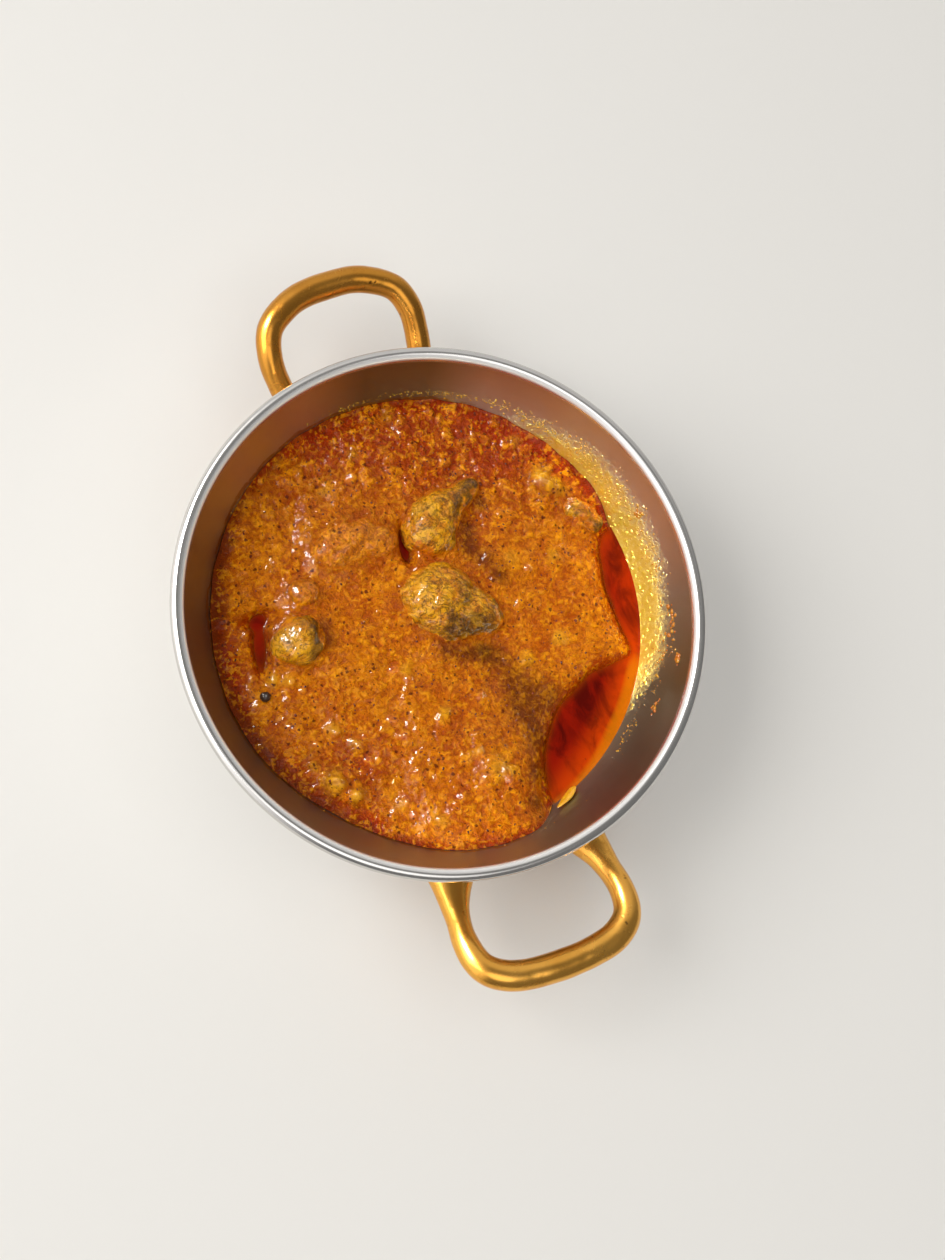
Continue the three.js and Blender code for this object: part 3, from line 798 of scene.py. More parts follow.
def masalaHeight(x, y):
    # The level, plus soft waves, plus each bump: rise times e to the minus its distance, squared
    # in units of its radii and raised to its squareness
    height = (masalaLevel
              + 0.3 * np.sin(0.33 * x + 0.17 * y + 1.3) * np.sin(0.27 * y - 0.21 * x + 0.4)
              + 0.12 * np.sin(0.46 * x - 0.52 * y + 2.1) * np.sin(0.19 * x + 0.14 * y))
    for cx, cy, rx, ry, turn, rise, edge in relief:
        along, side = turnedTo(x, y, (cx, cy), turn, (rx, ry))
        height = height + rise * np.exp(-((along * along + side * side) ** edge))
    return height


# Lobes of each piece: place, height over the masala's level, radius
meatPieces = {
    "meat_upper": [(6.4, 26.8, -0.6, 6.9), (8.7, 31.2, -1.4, 8.8), (14.9, 34.6, -1, 7),
                   (22.4, 37.5, -0.3, 4.6), (25.6, 38.8, 0.2, 3), (11.6, 23.2, 0.1, 3.6)],
    "meat_centre": [(0.2, 6.2, -1.4, 10.3), (4.6, 9, -1.6, 9.2), (10, 4.4, -0.3, 6.5),
                   (14, -2.2, -0.8, 7.5), (16.9, -6, 0.3, 3.9), (3.8, -2, -0.8, 7.8)],
    "meat_back": [(-25.6, 30.7, -4, 9.5), (-16.6, 32.5, -3.2, 8.9), (-9.5, 29.5, -2.5, 7.1)],
    "meat_left": [(-44.3, 4.6, -0.8, 7.1), (-42.3, 7, -0.8, 6.8), (-47.4, 5.5, -0.8, 6.2)],
    "meat_knob": [(-39.8, 20.8, 0.4, 3.9), (-37.3, 19.7, 0, 5.1)],
    "meat_right": [(57.5, 23, -1.6, 4.2), (61.1, 19.6, -1.5, 4.5), (63.2, 16, -1.2, 3.4)],
}
# Steps round and along, depth of the fibres and their way, how far the masala coats it from 0 to 1,
# seed, and how much painted shade its side turned from the light gets
meatLooks = {
    "meat_upper": ((250, 170), 0.16, (0.6, 0.8), 0.30, 21, 1.2),
    "meat_centre": ((280, 190), 0.26, (0.8, -0.6), 0.24, 22, 0.5),
    "meat_back": ((240, 150), 0.10, (1.0, 0.2), 0.72, 23, 0.3),
    "meat_left": ((200, 130), 0.12, (0.9, 0.3), 0.30, 24, 1.2),
    "meat_knob": ((150, 100), 0.08, (0.9, 0.4), 0.95, 25, 0.5),
    "meat_right": ((150, 100), 0.12, (0.8, -0.5), 0.38, 26, 0.7),
}
# Darker and paler places on the pieces: painted shade on shaded sides and undersides with some
# char, and painted highlight where paler. x, y, two radii, and how dark (under 0 is pale)
meatTones = [
    (6, -5.5, 6.5, 3.4, 1.5), (12, -8, 5, 2.8, 1.2), (3.5, -1, 2.2, 2.6, 0.9),
    (9.5, 1.5, 2.4, 2.0, 0.8), (20, 30, 4, 8, 0.7), (24, 38, 3, 2.5, 0.3), (-37, 8, 3.2, 7, 0.8),
    (12, 6, 2.5, 2.0, 0.7), (63, 17, 4, 5, 0.7), (-14, 38, 8, 2.5, 0.35), (18, 21, 4, 4, 0.5),
    (8, 35, 5, 3.2, -0.8), (3, 27, 3, 4, -0.5), (-2, 10, 5, 5, -0.5), (-28, 32, 4, 4, -0.6),
    (-48, 7, 4, 4, -0.6), (15, 0, 4, 3, -0.5), (22, 40, 3, 2, -0.4),
]
lobeBlend = 4.5  # how sharply one lobe gives way to the next
fibreRise, foldRise = 1.3, 0.42


def lobeSum(lobes, x, y, z):
    # The lobes' shares: e to the power of blend times (1 + knobs - distance over radius). 1 is the
    # skin. The knobs and hollows of a cooked piece are two products of sines.
    knobs = (0.03 * np.sin(0.52 * x + 0.34 * z + 0.7) * np.sin(0.47 * y + 1.9)
             + 0.018 * np.sin(0.83 * y - 0.61 * x + 0.9 * z))
    total = 0
    for cx, cy, cz, radius in lobes:
        distance = np.sqrt((x - cx) ** 2 + (y - cy) ** 2 + (z - masalaLevel - cz) ** 2)
        total = total + np.exp(lobeBlend * (1 + knobs - distance / radius))
    return total


def meatNearness(x, y):
    # The distance on the masala's surface to the nearest piece of meat, about, in millimetres
    z = masalaHeight(x, y)
    nearest = np.full(np.shape(x), 99.0)
    for lobes in meatPieces.values():
        share = np.maximum(lobeSum(lobes, x, y, z), 1e-9)
        nearest = np.minimum(nearest, -np.log(share) / lobeBlend * 6.5)
    return nearest


masala = {
    "steps": 304,  # points along a side of the top's grid
    "lumpRise": 1.3,
    "grainRise": 0.22,
    "pitDepth": 0.5,
    "waveRise": 0.7,
    "cling": 0.7,  # how far it climbs up the meat
    "rings": (3, 10, 20, 28),  # depths of the rings under its edge
    "intoWall": 0.25,
}
# Soft pieces of onion that stand out of the sauce: x, y, radius, rise
onionBits = [
    (12, -14.5, 2.2, 1.1), (-22, 50, 2.4, 1.0), (-47.5, -40, 3.4, 1.8), (-42.5, -46.5, 2.6, 1.5),
    (51, 35, 4.5, 1.6), (54.5, 31, 3.0, 1.2), (2.5, -53, 3.2, 1.2), (-3, -45, 2.2, 0.9),
    (-56, -3.5, 2.2, 1.1), (-52, -5.5, 1.8, 0.9), (-43, -24, 2.4, 1.0), (-38, -31, 2.0, 0.9),
    (-52, -33, 1.9, 0.9), (-8, -30, 2.6, 0.9), (-15, -13, 2.4, 0.8), (46, 50, 2.0, 0.9),
    (38, -18, 2.8, 1.0), (30, 12, 2.3, 0.7), (45, 9, 2.6, 0.9), (25, -22, 2.2, 0.9),
    (-20, -62, 2.4, 0.9), (-30, -53, 2.0, 0.8), (6, 69, 2.2, 0.8), (-9, 60, 2.0, 0.7),
]


def oiliness(x, y):
    # Where red oil soaks the masala: the back, the foot of the wall, and round the puddles
    toWall = innerRadius(masalaHeight(x, y)) - np.hypot(x, y)
    back = smoothstep(34, 62, y + 0.3 * x + 5 * cloud(x, y, 0, 18, 3, seed=31))
    angle = wallAngle(x, y)
    side = 4.5 + 4.5 * smoothstep(-150, -175, -np.abs(angle))
    side = side + 3.5 * np.exp(-((angle - 38) / 34) ** 2)
    rim = smoothstep(1.0, 0.0, toWall / (side + 2.2 * cloud(x, y, 0, 9, 2, seed=32)))
    shore = smoothstep(2.6, 0.1, masalaHeight(x, y) - oilLevel)
    return np.clip(0.75 * back + 0.9 * rim + 0.75 * shore, 0, 1)


def lumpiness(x, y):
    # The back, the left front and the right bank are curdled, and the middle is nearly smooth
    back = smoothstep(28, 50, y + 0.12 * x)
    left = np.exp(-((x + 46) / 22) ** 2 - ((y + 40) / 17) ** 2)
    right = np.exp(-((x - 46) / 15) ** 2 - ((y - 32) / 16) ** 2)
    front = np.exp(-((x - 2) / 16) ** 2 - ((y + 56) / 16) ** 2)
    return np.clip(0.36 + 0.6 * back + 0.6 * left + 0.55 * right + 0.4 * front, 0, 1)


# Painted shade: the slope from the front bank to the pool, turned from the light, and shadows
# beside the meat. x, y, radius
slopeParts = [
    (14.5, -17, 4.5), (18, -27, 6.5), (27, -35, 6), (18, -37, 6), (19.5, -47, 5.5), (15, -57, 4),
    (11, -66, 3), (19.5, 26, 3.6), (18.5, 20, 4), (21.5, 14, 3.8), (24.5, 7.5, 3.2),
    (-0.5, -10.5, 3), (4.5, -13.5, 3.6), (10.5, -14.5, 3.2), (26.5, 33, 3), (-36, 3, 2.6),
    (-36, 8, 2.2),
]
# Smooth wet humps that catch the light: x, y, two radii, turn in degrees, rise
wetHumps = [
    (-51.5, -6.5, 2.2, 1.4, 40, 1.1), (-48.2, -9.6, 1.3, 1.0, 0, 0.8),
    (-49, -27.5, 2.4, 1.3, -55, 1.2), (-43, -26, 1.5, 1.2, 10, 0.9),
    (-46.4, -40.5, 3.0, 1.6, -50, 1.6), (-41, -47.3, 3.2, 1.7, -35, 1.6),
    (-36.8, -31.5, 1.6, 1.3, 0, 0.9), (-35.3, -36.5, 1.6, 1.1, -30, 0.9),
    (-24.2, -27, 2.2, 1.3, -50, 1.1), (-22.5, -33, 1.5, 1.2, 0, 0.8),
    (-28, -53, 1.8, 1.3, 70, 1.0), (-27.4, -57.3, 1.2, 1.0, 0, 0.7),
    (3.8, -54.5, 1.7, 3.2, 8, 1.6), (-2, -45.5, 1.5, 1.9, 0, 1.0), (5.4, -28.5, 1.6, 1.2, 0, 0.8),
    (-18.8, -12, 1.5, 1.2, 0, 0.7), (-15.2, -16.4, 1.4, 1.1, 0, 0.7),
    (-55, -20, 1.4, 1.0, -60, 0.8), (49, 33.5, 2.4, 1.6, -35, 1.3), (53.4, 30, 1.8, 1.4, 0, 1.0),
    (35, 7, 1.6, 1.2, 0, 0.7), (-12, 52, 1.5, 1.1, 0, 0.7),
]


def slopeShade(x, y):
    # Painted shade: the slope, and a dark band along the wall, widest at the left
    slope = sum(np.exp(-((x - cx) ** 2 + (y - cy) ** 2) / r ** 2) for cx, cy, r in slopeParts)
    toWall = innerRadius(masalaHeight(x, y)) - np.hypot(x, y) + 1.2 * cloud(x, y, 0, 7, 2, 49)
    left = smoothstep(115, 150, np.abs(wallAngle(x, y)))
    band = (0.45 + 0.5 * left) * smoothstep(2.5 + 4.5 * left, 0.3, toWall)
    return np.clip(slope + band, 0, 1)


def mounds(x, y, size, seed, most, share):
    # Round mounds, one in a cell if its first number is under share: height 0 to 1, and that number
    far, pick, tall = cells(x, y, size, seed)
    return smoothstep(*most, far) * (pick < share) * (0.35 + 0.65 * tall), pick


def masalaSurface(x, y):
    # Height of the finished surface, with lumps, grains and pits, and the masks for its colours
    base = masalaHeight(x, y)
    oily = oiliness(x, y)
    near = meatNearness(x, y)
    toWall = innerRadius(base) - np.hypot(x, y)
    calm = smoothstep(0.2, 3.0, toWall) * smoothstep(-0.5, 1.4, base - oilLevel)
    curdled = lumpiness(x, y)
    driftX, driftY = 0.9 * cloud(x, y, 0, 4, 2, 41), 0.9 * cloud(x, y, 3, 4, 2, 42)
    lump, lumpPick = mounds(x + driftX, y + driftY, 4.3, 43, (0.66, 0.12), 0.4)
    small, _ = mounds(x + 0.6 * driftX, y + 0.6 * driftY, 2.4, 48, (0.68, 0.15), 0.6)
    mound = np.maximum(lump, 0.55 * small)
    grainFar, _, grainTall = cells(x, y, 1.5, 44)
    grain = np.sqrt(smoothstep(0.7, 0.0, grainFar)) * (0.2 + 0.8 * grainTall)
    pitFar, pitPick, pitDeep = cells(x, y, 1.6, 45)
    pitted = pitPick < 0.05 + 0.45 * oily * curdled
    pit = smoothstep(0.42, 0.08, pitFar) * pitted * (0.4 + 0.6 * pitDeep)
    wave = cloud(x, y, 0, 13, 2, 46)
    onion = np.zeros(np.shape(x))
    for cx, cy, radius, rise in onionBits:
        ragged = 1 + 0.35 * cloud(x, y, cx, 3.2, 2, 47)
        share = np.exp(-((np.hypot(x - cx, y - cy) / (radius * ragged)) ** 2) ** 1.5)
        onion = onion + share * rise
    height = base + calm * (masala["lumpRise"] * curdled * mound + masala["grainRise"] * grain
                            - masala["pitDepth"] * pit + masala["waveRise"] * wave + 0.8 * onion)
    height = height + masala["cling"] * np.exp(-np.maximum(near, 0) / 1.9)
    wet = np.zeros(np.shape(x))
    for cx, cy, rx, ry, turn, rise in wetHumps:
        along, side = turnedTo(x, y, (cx, cy), turn, (rx, ry))
        share = np.exp(-((along ** 2 + side ** 2) ** 1.3))
        height = height + share * rise
        wet = np.maximum(wet, share)
    edgeLift = 0.7 * np.exp(-np.maximum(toWall, 0) / 0.8)
    between = curdled * smoothstep(0.26, 0.0, mound)
    return height + edgeLift, {
        "oily": oily,
        "pale": np.clip(0.3 * curdled * mound * (lumpPick < 0.3) + onion / 1.3, 0, 1),
        # Darker between curds and in pits: oil, with painted shade
        "hollow": np.clip(0.75 * between + 0.9 * pit, 0, 1),
        # Painted shade where the sauce meets the meat
        "meatFootShade": smoothstep(2.4, 0.0, near),
        "shade": slopeShade(x, y),
        "wet": wet,
    }


def discGrid(steps):
    # A square grid laid on a disc, all its cells as large: each square ring becomes a circle.
    # Gives each point's share of the radius and its angle.
    a, b = np.meshgrid(np.linspace(-1, 1, steps), np.linspace(-1, 1, steps), indexing="ij")
    wide = np.abs(a) >= np.abs(b)
    radius = np.where(wide, a, b)
    safe = np.where(radius == 0, 1, radius)
    turn = np.where(wide, math.pi / 4 * b / safe, math.pi / 2 - math.pi / 4 * a / safe)
    side = np.sign(radius)
    return np.abs(radius), np.arctan2(np.sin(turn) * side, np.cos(turn) * side)


def masalaEdge(turn):
    # Where the top meets the wall: the wall's radius at the top's own height, found in a few rounds
    radius = np.full(np.shape(turn), wallTop - 8)
    for _ in range(12):
        radius = innerRadius(masalaHeight(*onCircle(radius, turn)))
    return radius


def makeMasala():
    # The top is the disc grid at the surface's height. Rings then follow the wall to the floor.
    share, turn = discGrid(masala["steps"])
    x, y = onCircle(share * (masalaEdge(turn) + masala["intoWall"]), turn)
    height, values = masalaSurface(x, y)
    top = np.stack([x, y, height], -1)
    n = masala["steps"]
    index = np.arange(n * n).reshape(n, n)
    edge = gridEdge(index)
    rim = top.reshape(-1, 3)[edge]
    rimTurn = np.arctan2(rim[:, 1], rim[:, 0])
    rows = [edge]
    points = [top.reshape(-1, 3)]
    count = n * n
    for depth in masala["rings"]:
        z = np.maximum(rim[:, 2] - depth, knuckleTop[1] + 0.4)
        radius = innerRadius(z) + masala["intoWall"]
        points.append(np.stack([*onCircle(radius, rimTurn), z], -1))
        rows.append(np.arange(count, count + len(edge)))
        count += len(edge)
    points.append(np.array([[0, 0, knuckleTop[1] - 1.5]]))
    ring = np.stack(rows + [rows[-1] * 0 + count])
    ring = np.concatenate([ring, ring[:, :1]], 1)
    sides = gridFaces(ring[:-1])[:, ::-1]
    bottom = np.stack([ring[-2, :-1], np.full(len(edge), count), ring[-2, 1:]], -1)[:, ::-1]
    extra = count + 1 - n * n
    for key, value in values.items():
        values[key] = np.concatenate([value.ravel(), np.zeros(extra)])
    faces = [gridFaces(index), sides, bottom]
    piece = meshFrom("masala", np.concatenate(points), faces, masalaMaterial(), values)
    settle(piece, "masala", "masala")


def curdGroup():
    # How high the sauce's small curds stand, 0 to 1: patches of one size with grains of another
    tree, given, out = newGroup("curds", [("Vector", "Vector", None)], "Height")
    patches = noise(tree, given["Vector"], 4.2, 4, 0.6, 0.8)
    grain = noise(tree, given["Vector"], 1.5, 4, 0.62, 0.5)
    blend = plus(tree, times(tree, patches, 0.42), times(tree, grain, 0.58))
    give(tree, out, {"Height": stepped(tree, blend, 0.36, 0.64)})
    return tree


curds = curdGroup()


masalaColors = {
    "sauce": (srgb(214, 106, 0), srgb(234, 134, 0)),
    "oily": srgb(182, 44, 0),
    "dips": srgb(146, 48, 0),  # between the curds
    "curds": srgb(248, 160, 8),
    "onion": srgb(250, 180, 30),
    "hollows": srgb(136, 32, 0),
    "specks": srgb(84, 20, 0),
    "shade": srgb(96, 40, 0),
    # painted shade at the meat's foot
    "meatFootShade": srgb(150, 62, 0),
}


def masalaColor(tree, place, curd, oily, pale, hollow):
    # The sauce's colour: ochre orange, redder with oil, yellow on curds and onion, dark in hollows
    # from oil and painted shade
    broad = stepped(tree, noise(tree, place, 15, 3, 0.55), 0.3, 0.7)
    color = mixed(tree, broad, *masalaColors["sauce"])
    soaked = times(tree, oily, stepped(tree, curd, 0.85, 0.4, 0.45, 1.0))
    color = tinted(tree, color, soaked, 0.95, masalaColors["oily"])
    color = mixed(tree, stepped(tree, curd, 0.46, 0.06, 0.0, 0.6), color, masalaColors["dips"])
    color = mixed(tree, stepped(tree, curd, 0.54, 0.92, 0.0, 0.7), color, masalaColors["curds"])
    color = tinted(tree, color, pale, 0.75, masalaColors["onion"])
    color = tinted(tree, color, hollow, 0.65, masalaColors["hollows"])
    crowd = stepped(tree, noise(tree, place, 8, 3, 0.6), 0.4, 0.65, 0.05, 0.34)
    dark = {"Vector": place, "Scale": 700.0, "Amount": crowd, "Width": 0.4}
    return tinted(tree, color, placed(tree, specks, dark), 0.8, masalaColors["specks"])


def masalaMaterial():
    material, tree, shader, place = newMaterial("masalaSauce")
    oily, pale, hollow, near, shade, wetHump = (
        attribute(tree, name) for name in ("oily", "pale", "hollow", "meatFootShade", "shade", "wet"))
    curd = placed(tree, curds, {"Vector": place})
    color = masalaColor(tree, place, curd, oily, pale, hollow)
    shade = times(tree, shade, stepped(tree, curd, 0.9, 0.4, 0.72, 1.0))
    color = tinted(tree, color, shade, 0.8, masalaColors["shade"])
    # Painted shade: the sauce darker where it meets the meat
    color = tinted(tree, color, near, 0.35, masalaColors["meatFootShade"])
    wet = stepped(tree, noise(tree, place, 6, 3, 0.6), 0.38, 0.62, 0.08, 0.3)
    wet = math2(tree, "MAXIMUM", wet, stepped(tree, wetHump, 0.1, 0.6))
    give(tree, shader, {
        "Base Color": color, "Roughness": minus(tree, 0.45, times(tree, oily, 0.12)),
        "Specular IOR Level": 0.05, "Coat Weight": wet, "Coat IOR": 1.45, "Coat Roughness": 0.05,
    })
    smooth = stepped(tree, wetHump, 0.05, 0.5, 1.0, 0.4)
    bumped(tree, shader, times(tree, curd, smooth), 0.85, 0.85)
    return material


def makeMeat(name, material):
    # Along each direction from the middle, the skin is where the lobes' shares add up to 1, found
    # by halving. Fibres and folds then move it in and out.
    lobes, (steps, depth, (ux, uy), coated, seed, shady) = meatPieces[name], meatLooks[name]
    radii = np.array([lobe[3] for lobe in lobes])
    middle = (np.array([lobe[:3] for lobe in lobes]) * radii[:, None]).sum(0) / radii.sum()
    middle = middle + (0, 0, masalaLevel)
    direction = ballWays(*steps)
    farthest, halvings = 40.0, 22
    low, high = np.zeros(direction.shape[:2]), np.full(direction.shape[:2], farthest)
    for _ in range(halvings):
        half = (low + high) / 2
        within = lobeSum(lobes, *np.moveaxis(middle + direction * half[..., None], -1, 0)) > 1
        low, high = np.where(within, half, low), np.where(within, high, half)
    p = middle + direction * low[..., None]
    x, y, z = np.moveaxis(p, -1, 0)
    drift = 1.6 * cloud(x, y, z, 7, 2, seed)
    long, wide = (x * ux + y * uy) / 9, (y * ux - x * uy + drift) / 1.2
    fibre = softNoise(long, wide, z / 1.2 + drift, seed + 3)
    strand = softNoise(long * 1.8, wide * 2.1, z / 0.6 + drift, seed + 4)
    lumps = cloud(x, y, z, 5.2, 3, seed + 6)
    where = smoothstep(-0.3, 0.5, cloud(x, y, z, 9, 2, seed + 9))  # fibres show in places
    move = fibreRise * depth * where * (fibre + 0.45 * strand) + foldRise * lumps
    p = p + direction * move[..., None]
    over = p[..., 2] - masalaHeight(x, y)
    drape = cloud(x, y, z, 6, 3, seed + 12)
    coat = smoothstep(0.7, -0.2, (over - 1.6) / 2.2 - 4 * (coated - 0.3) - 1.1 * drape)
    away = direction[..., 0] * 0.93 - direction[..., 1] * 0.37  # the side turned from the light
    # Painted shade on the side turned from the light, then painted shade and highlight of the
    # listed places
    tone = shady * smoothstep(0.15, 0.8, away)
    for cx, cy, rx, ry, dark in meatTones:
        tone += dark * np.exp(-((x - cx) / rx) ** 2 - ((y - cy) / ry) ** 2)
    piece = surface(name + "Piece", p, material, {
        "coat": coat,
        "fibre": np.clip(0.5 + 0.5 * fibre * where, 0, 1),
        "dark": np.clip(0.5 + 0.5 * (tone + 0.35 * lumps), 0, 1),
    }, closed=True, poles=True)
    settle(piece, "lamb", name)


lambColors = {
    "flesh": (srgb(214, 126, 0), srgb(250, 178, 20)),
    "brownedAndShaded": (srgb(58, 34, 0), srgb(136, 82, 4)),
    "wrinkles": srgb(96, 46, 0),
    "pale": srgb(244, 182, 58),
    "fibres": srgb(232, 168, 40),
    "dots": srgb(108, 50, 0),
    "herbs": srgb(84, 46, 8),
}


def lambMaterial():
    material, tree, shader, place = newMaterial("braisedLamb")
    coat, fibre, dark = (attribute(tree, name) for name in ("coat", "fibre", "dark"))
    blotch, fine = noise(tree, place, 3.6, 5, 0.66, 0.6), noise(tree, place, 1.0, 5, 0.72)
    blotched = stepped(tree, blotch, 0.36, 0.64)
    flesh = mixed(tree, blotched, *lambColors["flesh"])
    ragged = plus(tree, dark, swing(tree, fine, 1.1))
    # Cooked brown with painted shade where the tone is dark
    brownedAndShaded = stepped(tree, noise(tree, place, 0.9, 4, 0.7), 0.42, 0.6)
    brownedAndShaded = mixed(tree, brownedAndShaded, *lambColors["brownedAndShaded"])
    flesh = tinted(tree, flesh, stepped(tree, ragged, 0.42, 1.1), 0.95, brownedAndShaded)
    # Wrinkles: thin dark lines where a noise crosses its middle
    crossing = minus(tree, noise(tree, place, 4.2, 4, 0.6, 1.2), 0.5)
    wrinkle = stepped(tree, math2(tree, "ABSOLUTE", crossing), 0.035, 0.0)
    flesh = tinted(tree, flesh, wrinkle, 0.6, lambColors["wrinkles"])
    # Painted highlight: paler where the tone is low, on the lit parts
    flesh = tinted(tree, flesh, stepped(tree, dark, 0.42, 0.12), 0.6, lambColors["pale"])
    # Paler along the fibres: painted highlight on their ridges
    flesh = tinted(tree, flesh, stepped(tree, fibre, 0.55, 0.85), 0.4, lambColors["fibres"])
    flesh = mixed(tree, stepped(tree, fine, 0.54, 0.72, 0, 0.6), flesh, lambColors["dots"])
    curd = placed(tree, curds, {"Vector": place})
    sauce = masalaColor(tree, place, curd, 0.1, 0.1, 0.0)
    covered = stepped(tree, plus(tree, coat, swing(tree, fine, 1.6)), 0.05, 0.95)
    herbs = {"Vector": place, "Scale": 620.0, "Amount": 0.2, "Width": 0.36}
    herbs = placed(tree, specks, herbs)
    color = mixed(tree, covered, flesh, sauce)
    color = tinted(tree, color, herbs, 0.5, lambColors["herbs"])
    give(tree, shader, {
        "Base Color": color, "Roughness": stepped(tree, blotch, 0.3, 0.7, 0.42, 0.3),
        "Specular IOR Level": 0.1, "Coat Weight": 0.5, "Coat IOR": 1.45, "Coat Roughness": 0.05,
    })
    raised = plus(tree, times(tree, curd, 0.5), times(tree, blotch, 1.1))
    bumped(tree, shader, minus(tree, raised, times(tree, wrinkle, 0.5)), 0.85, 0.95)
    return material


oilPool = {
    "from": -84,  # the angles it runs between
    "to": 40,
    "steps": (400, 60),  # points round and across
    "widest": 45,
    "shoreRise": 0.9,  # how far over the oil the masala is at the end of the shore
    "shoreSpan": 15,  # points over which the shore is made even
}
oilPuddles = {  # middle, half sizes
    "oil_left": ((-55.5, 10.2), (7, 11.5)),
    "oil_middle": ((-1.6, 26.6), (3.2, 6.5)),
}
oilDepth, oilIntoWall = 2.6, 0.3
oilColors = {
    "deep": (srgb(80, 5, 0), srgb(138, 18, 0)),
    "shallow": srgb(150, 56, 0),
    # painted light: the oil's glow near the wall
    "byWall": srgb(208, 66, 0),
    "edge": srgb(204, 122, 4),
    "motes": srgb(120, 40, 6),
}


def oilSheet(name, x, y, material):
    # A level sheet that rises a little at its shore and at the wall, closed underneath. Where the
    # masala stands higher, it hides the sheet.
    toWall = innerRadius(oilLevel) - np.hypot(x, y)
    floorZ = masalaHeight(x, y)
    depth = np.maximum(oilLevel - floorZ, 0)
    lift = 0.45 * np.exp(-np.maximum(toWall, 0) / 0.7) + 0.35 * np.exp(-depth / 0.35)
    swirl = 0.05 * cloud(x, y, 0, 8, 2, 61)
    top = np.stack([x, y, oilLevel + lift + swirl], -1)
    lower = top.copy()
    lower[..., 2] -= oilDepth
    inside = innerRadius(lower[..., 2]) + oilIntoWall
    lower[..., :2] *= np.minimum(1, inside / np.hypot(x, y))[..., None]
    index = np.arange(x.size).reshape(x.shape)
    edge = gridEdge(index)
    side = np.stack([edge, edge + index.size])
    side = np.concatenate([side, side[:, :1]], 1)
    faces = [gridFaces(index), gridFaces(index + index.size)[:, ::-1], gridFaces(side)[:, ::-1]]
    # Painted light: how brightly the oil glows near the wall, most at the front right
    glowNearWall = smoothstep(12, 1, toWall + 0.16 * np.clip(-50 - y, 0, 30))
    glowNearWall = glowNearWall * (0.3 + 0.7 * smoothstep(-12, -32, wallAngle(x, y)))
    values = {"shallow": np.tile(np.exp(-depth / 1.6).ravel(), 2),
              "byWall": np.tile(glowNearWall.ravel(), 2)}
    points = np.concatenate([top.reshape(-1, 3), lower.reshape(-1, 3)])
    piece = meshFrom(name + "Surface", points, faces, material, values)
    settle(piece, "oil", name)


def makeOil():
    material = oilMaterial()
    turn = np.linspace(oilPool["from"], oilPool["to"], oilPool["steps"][0])
    turn = np.radians(turn)[:, None]
    wall, widest = innerRadius(oilLevel) + oilIntoWall, oilPool["widest"]
    # Inwards from the wall, the pool ends where the masala rises well over the oil
    tries = 400
    radius = wall - np.linspace(0, 1, tries)[None, :] * widest
    over = masalaHeight(*onCircle(radius, turn)) > oilLevel + oilPool["shoreRise"]
    first = np.where(over.any(1), over.argmax(1), tries - 1)
    shore = wall - first / (tries - 1) * widest - 1.0
    kernel = np.hanning(oilPool["shoreSpan"])
    shore = np.pad(shore, oilPool["shoreSpan"] // 2, "edge")
    shore = np.convolve(shore, kernel / kernel.sum(), "valid")
    share = np.linspace(0, 1, oilPool["steps"][1])[None, :]
    radius = shore[:, None] * (1 - share) + wall * share
    oilSheet("oil_pool", *onCircle(radius, turn), material)
    for name, (middle, half) in oilPuddles.items():
        share, turn = discGrid(60)
        x = middle[0] + half[0] * share * np.cos(turn)
        y = middle[1] + half[1] * share * np.sin(turn)
        oilSheet(name, x, y, material)


def oilMaterial():
    material, tree, shader, place = newMaterial("redOil")
    shallow, byWall = attribute(tree, "shallow"), attribute(tree, "byWall")
    stretch = {"Vector": place, "Rotation": (0, 0, 0.45), "Scale": (1.0, 0.5, 1.0)}
    cloudy = noise(tree, add(tree, "Mapping", stretch).outputs[0], 7, 4, 0.6, 0.5)
    deep = mixed(tree, stepped(tree, cloudy, 0.36, 0.66), *oilColors["deep"])
    thin = stepped(tree, shallow, 0.04, 0.7, 0.0, 0.75)
    color = mixed(tree, thin, deep, oilColors["shallow"])
    # Painted light: an orange glow near the wall, as if lit through
    lit = times(tree, byWall, stepped(tree, cloudy, 0.3, 0.6, 0.35, 0.95))
    color = mixed(tree, lit, color, oilColors["byWall"])
    color = tinted(tree, color, stepped(tree, byWall, 0.78, 1.0), 0.6, oilColors["edge"])
    motes = {"Vector": place, "Scale": 380.0, "Amount": 0.07, "Width": 0.3}
    color = tinted(tree, color, placed(tree, specks, motes), 0.7, oilColors["motes"])
    give(tree, shader, {
        "Base Color": color, "Roughness": 0.06, "Specular IOR Level": 0.12,
        "Alpha": stepped(tree, shallow, 0.97, 0.25, 0.05, 1.0),
    })
    return material


def twenty():
    # The icosahedron: corners at (0, 1, golden ratio) and its turns, and its faces
    g = (1 + 5 ** 0.5) / 2
    corners = np.array([
        (-1, g, 0), (1, g, 0), (-1, -g, 0), (1, -g, 0), (0, -1, g), (0, 1, g), (0, -1, -g),
        (0, 1, -g), (g, 0, -1), (g, 0, 1), (-g, 0, -1), (-g, 0, 1),
    ], float)
    faces = np.array([
        (0, 11, 5), (0, 5, 1), (0, 1, 7), (0, 7, 10), (0, 10, 11), (1, 5, 9), (5, 11, 4),
        (11, 10, 2), (10, 7, 6), (7, 1, 8), (3, 9, 4), (3, 4, 2), (3, 2, 6), (3, 6, 8),
        (3, 8, 9), (4, 9, 5), (2, 4, 11), (6, 2, 10), (8, 6, 7), (9, 8, 1),
    ])
    return unit(corners), faces


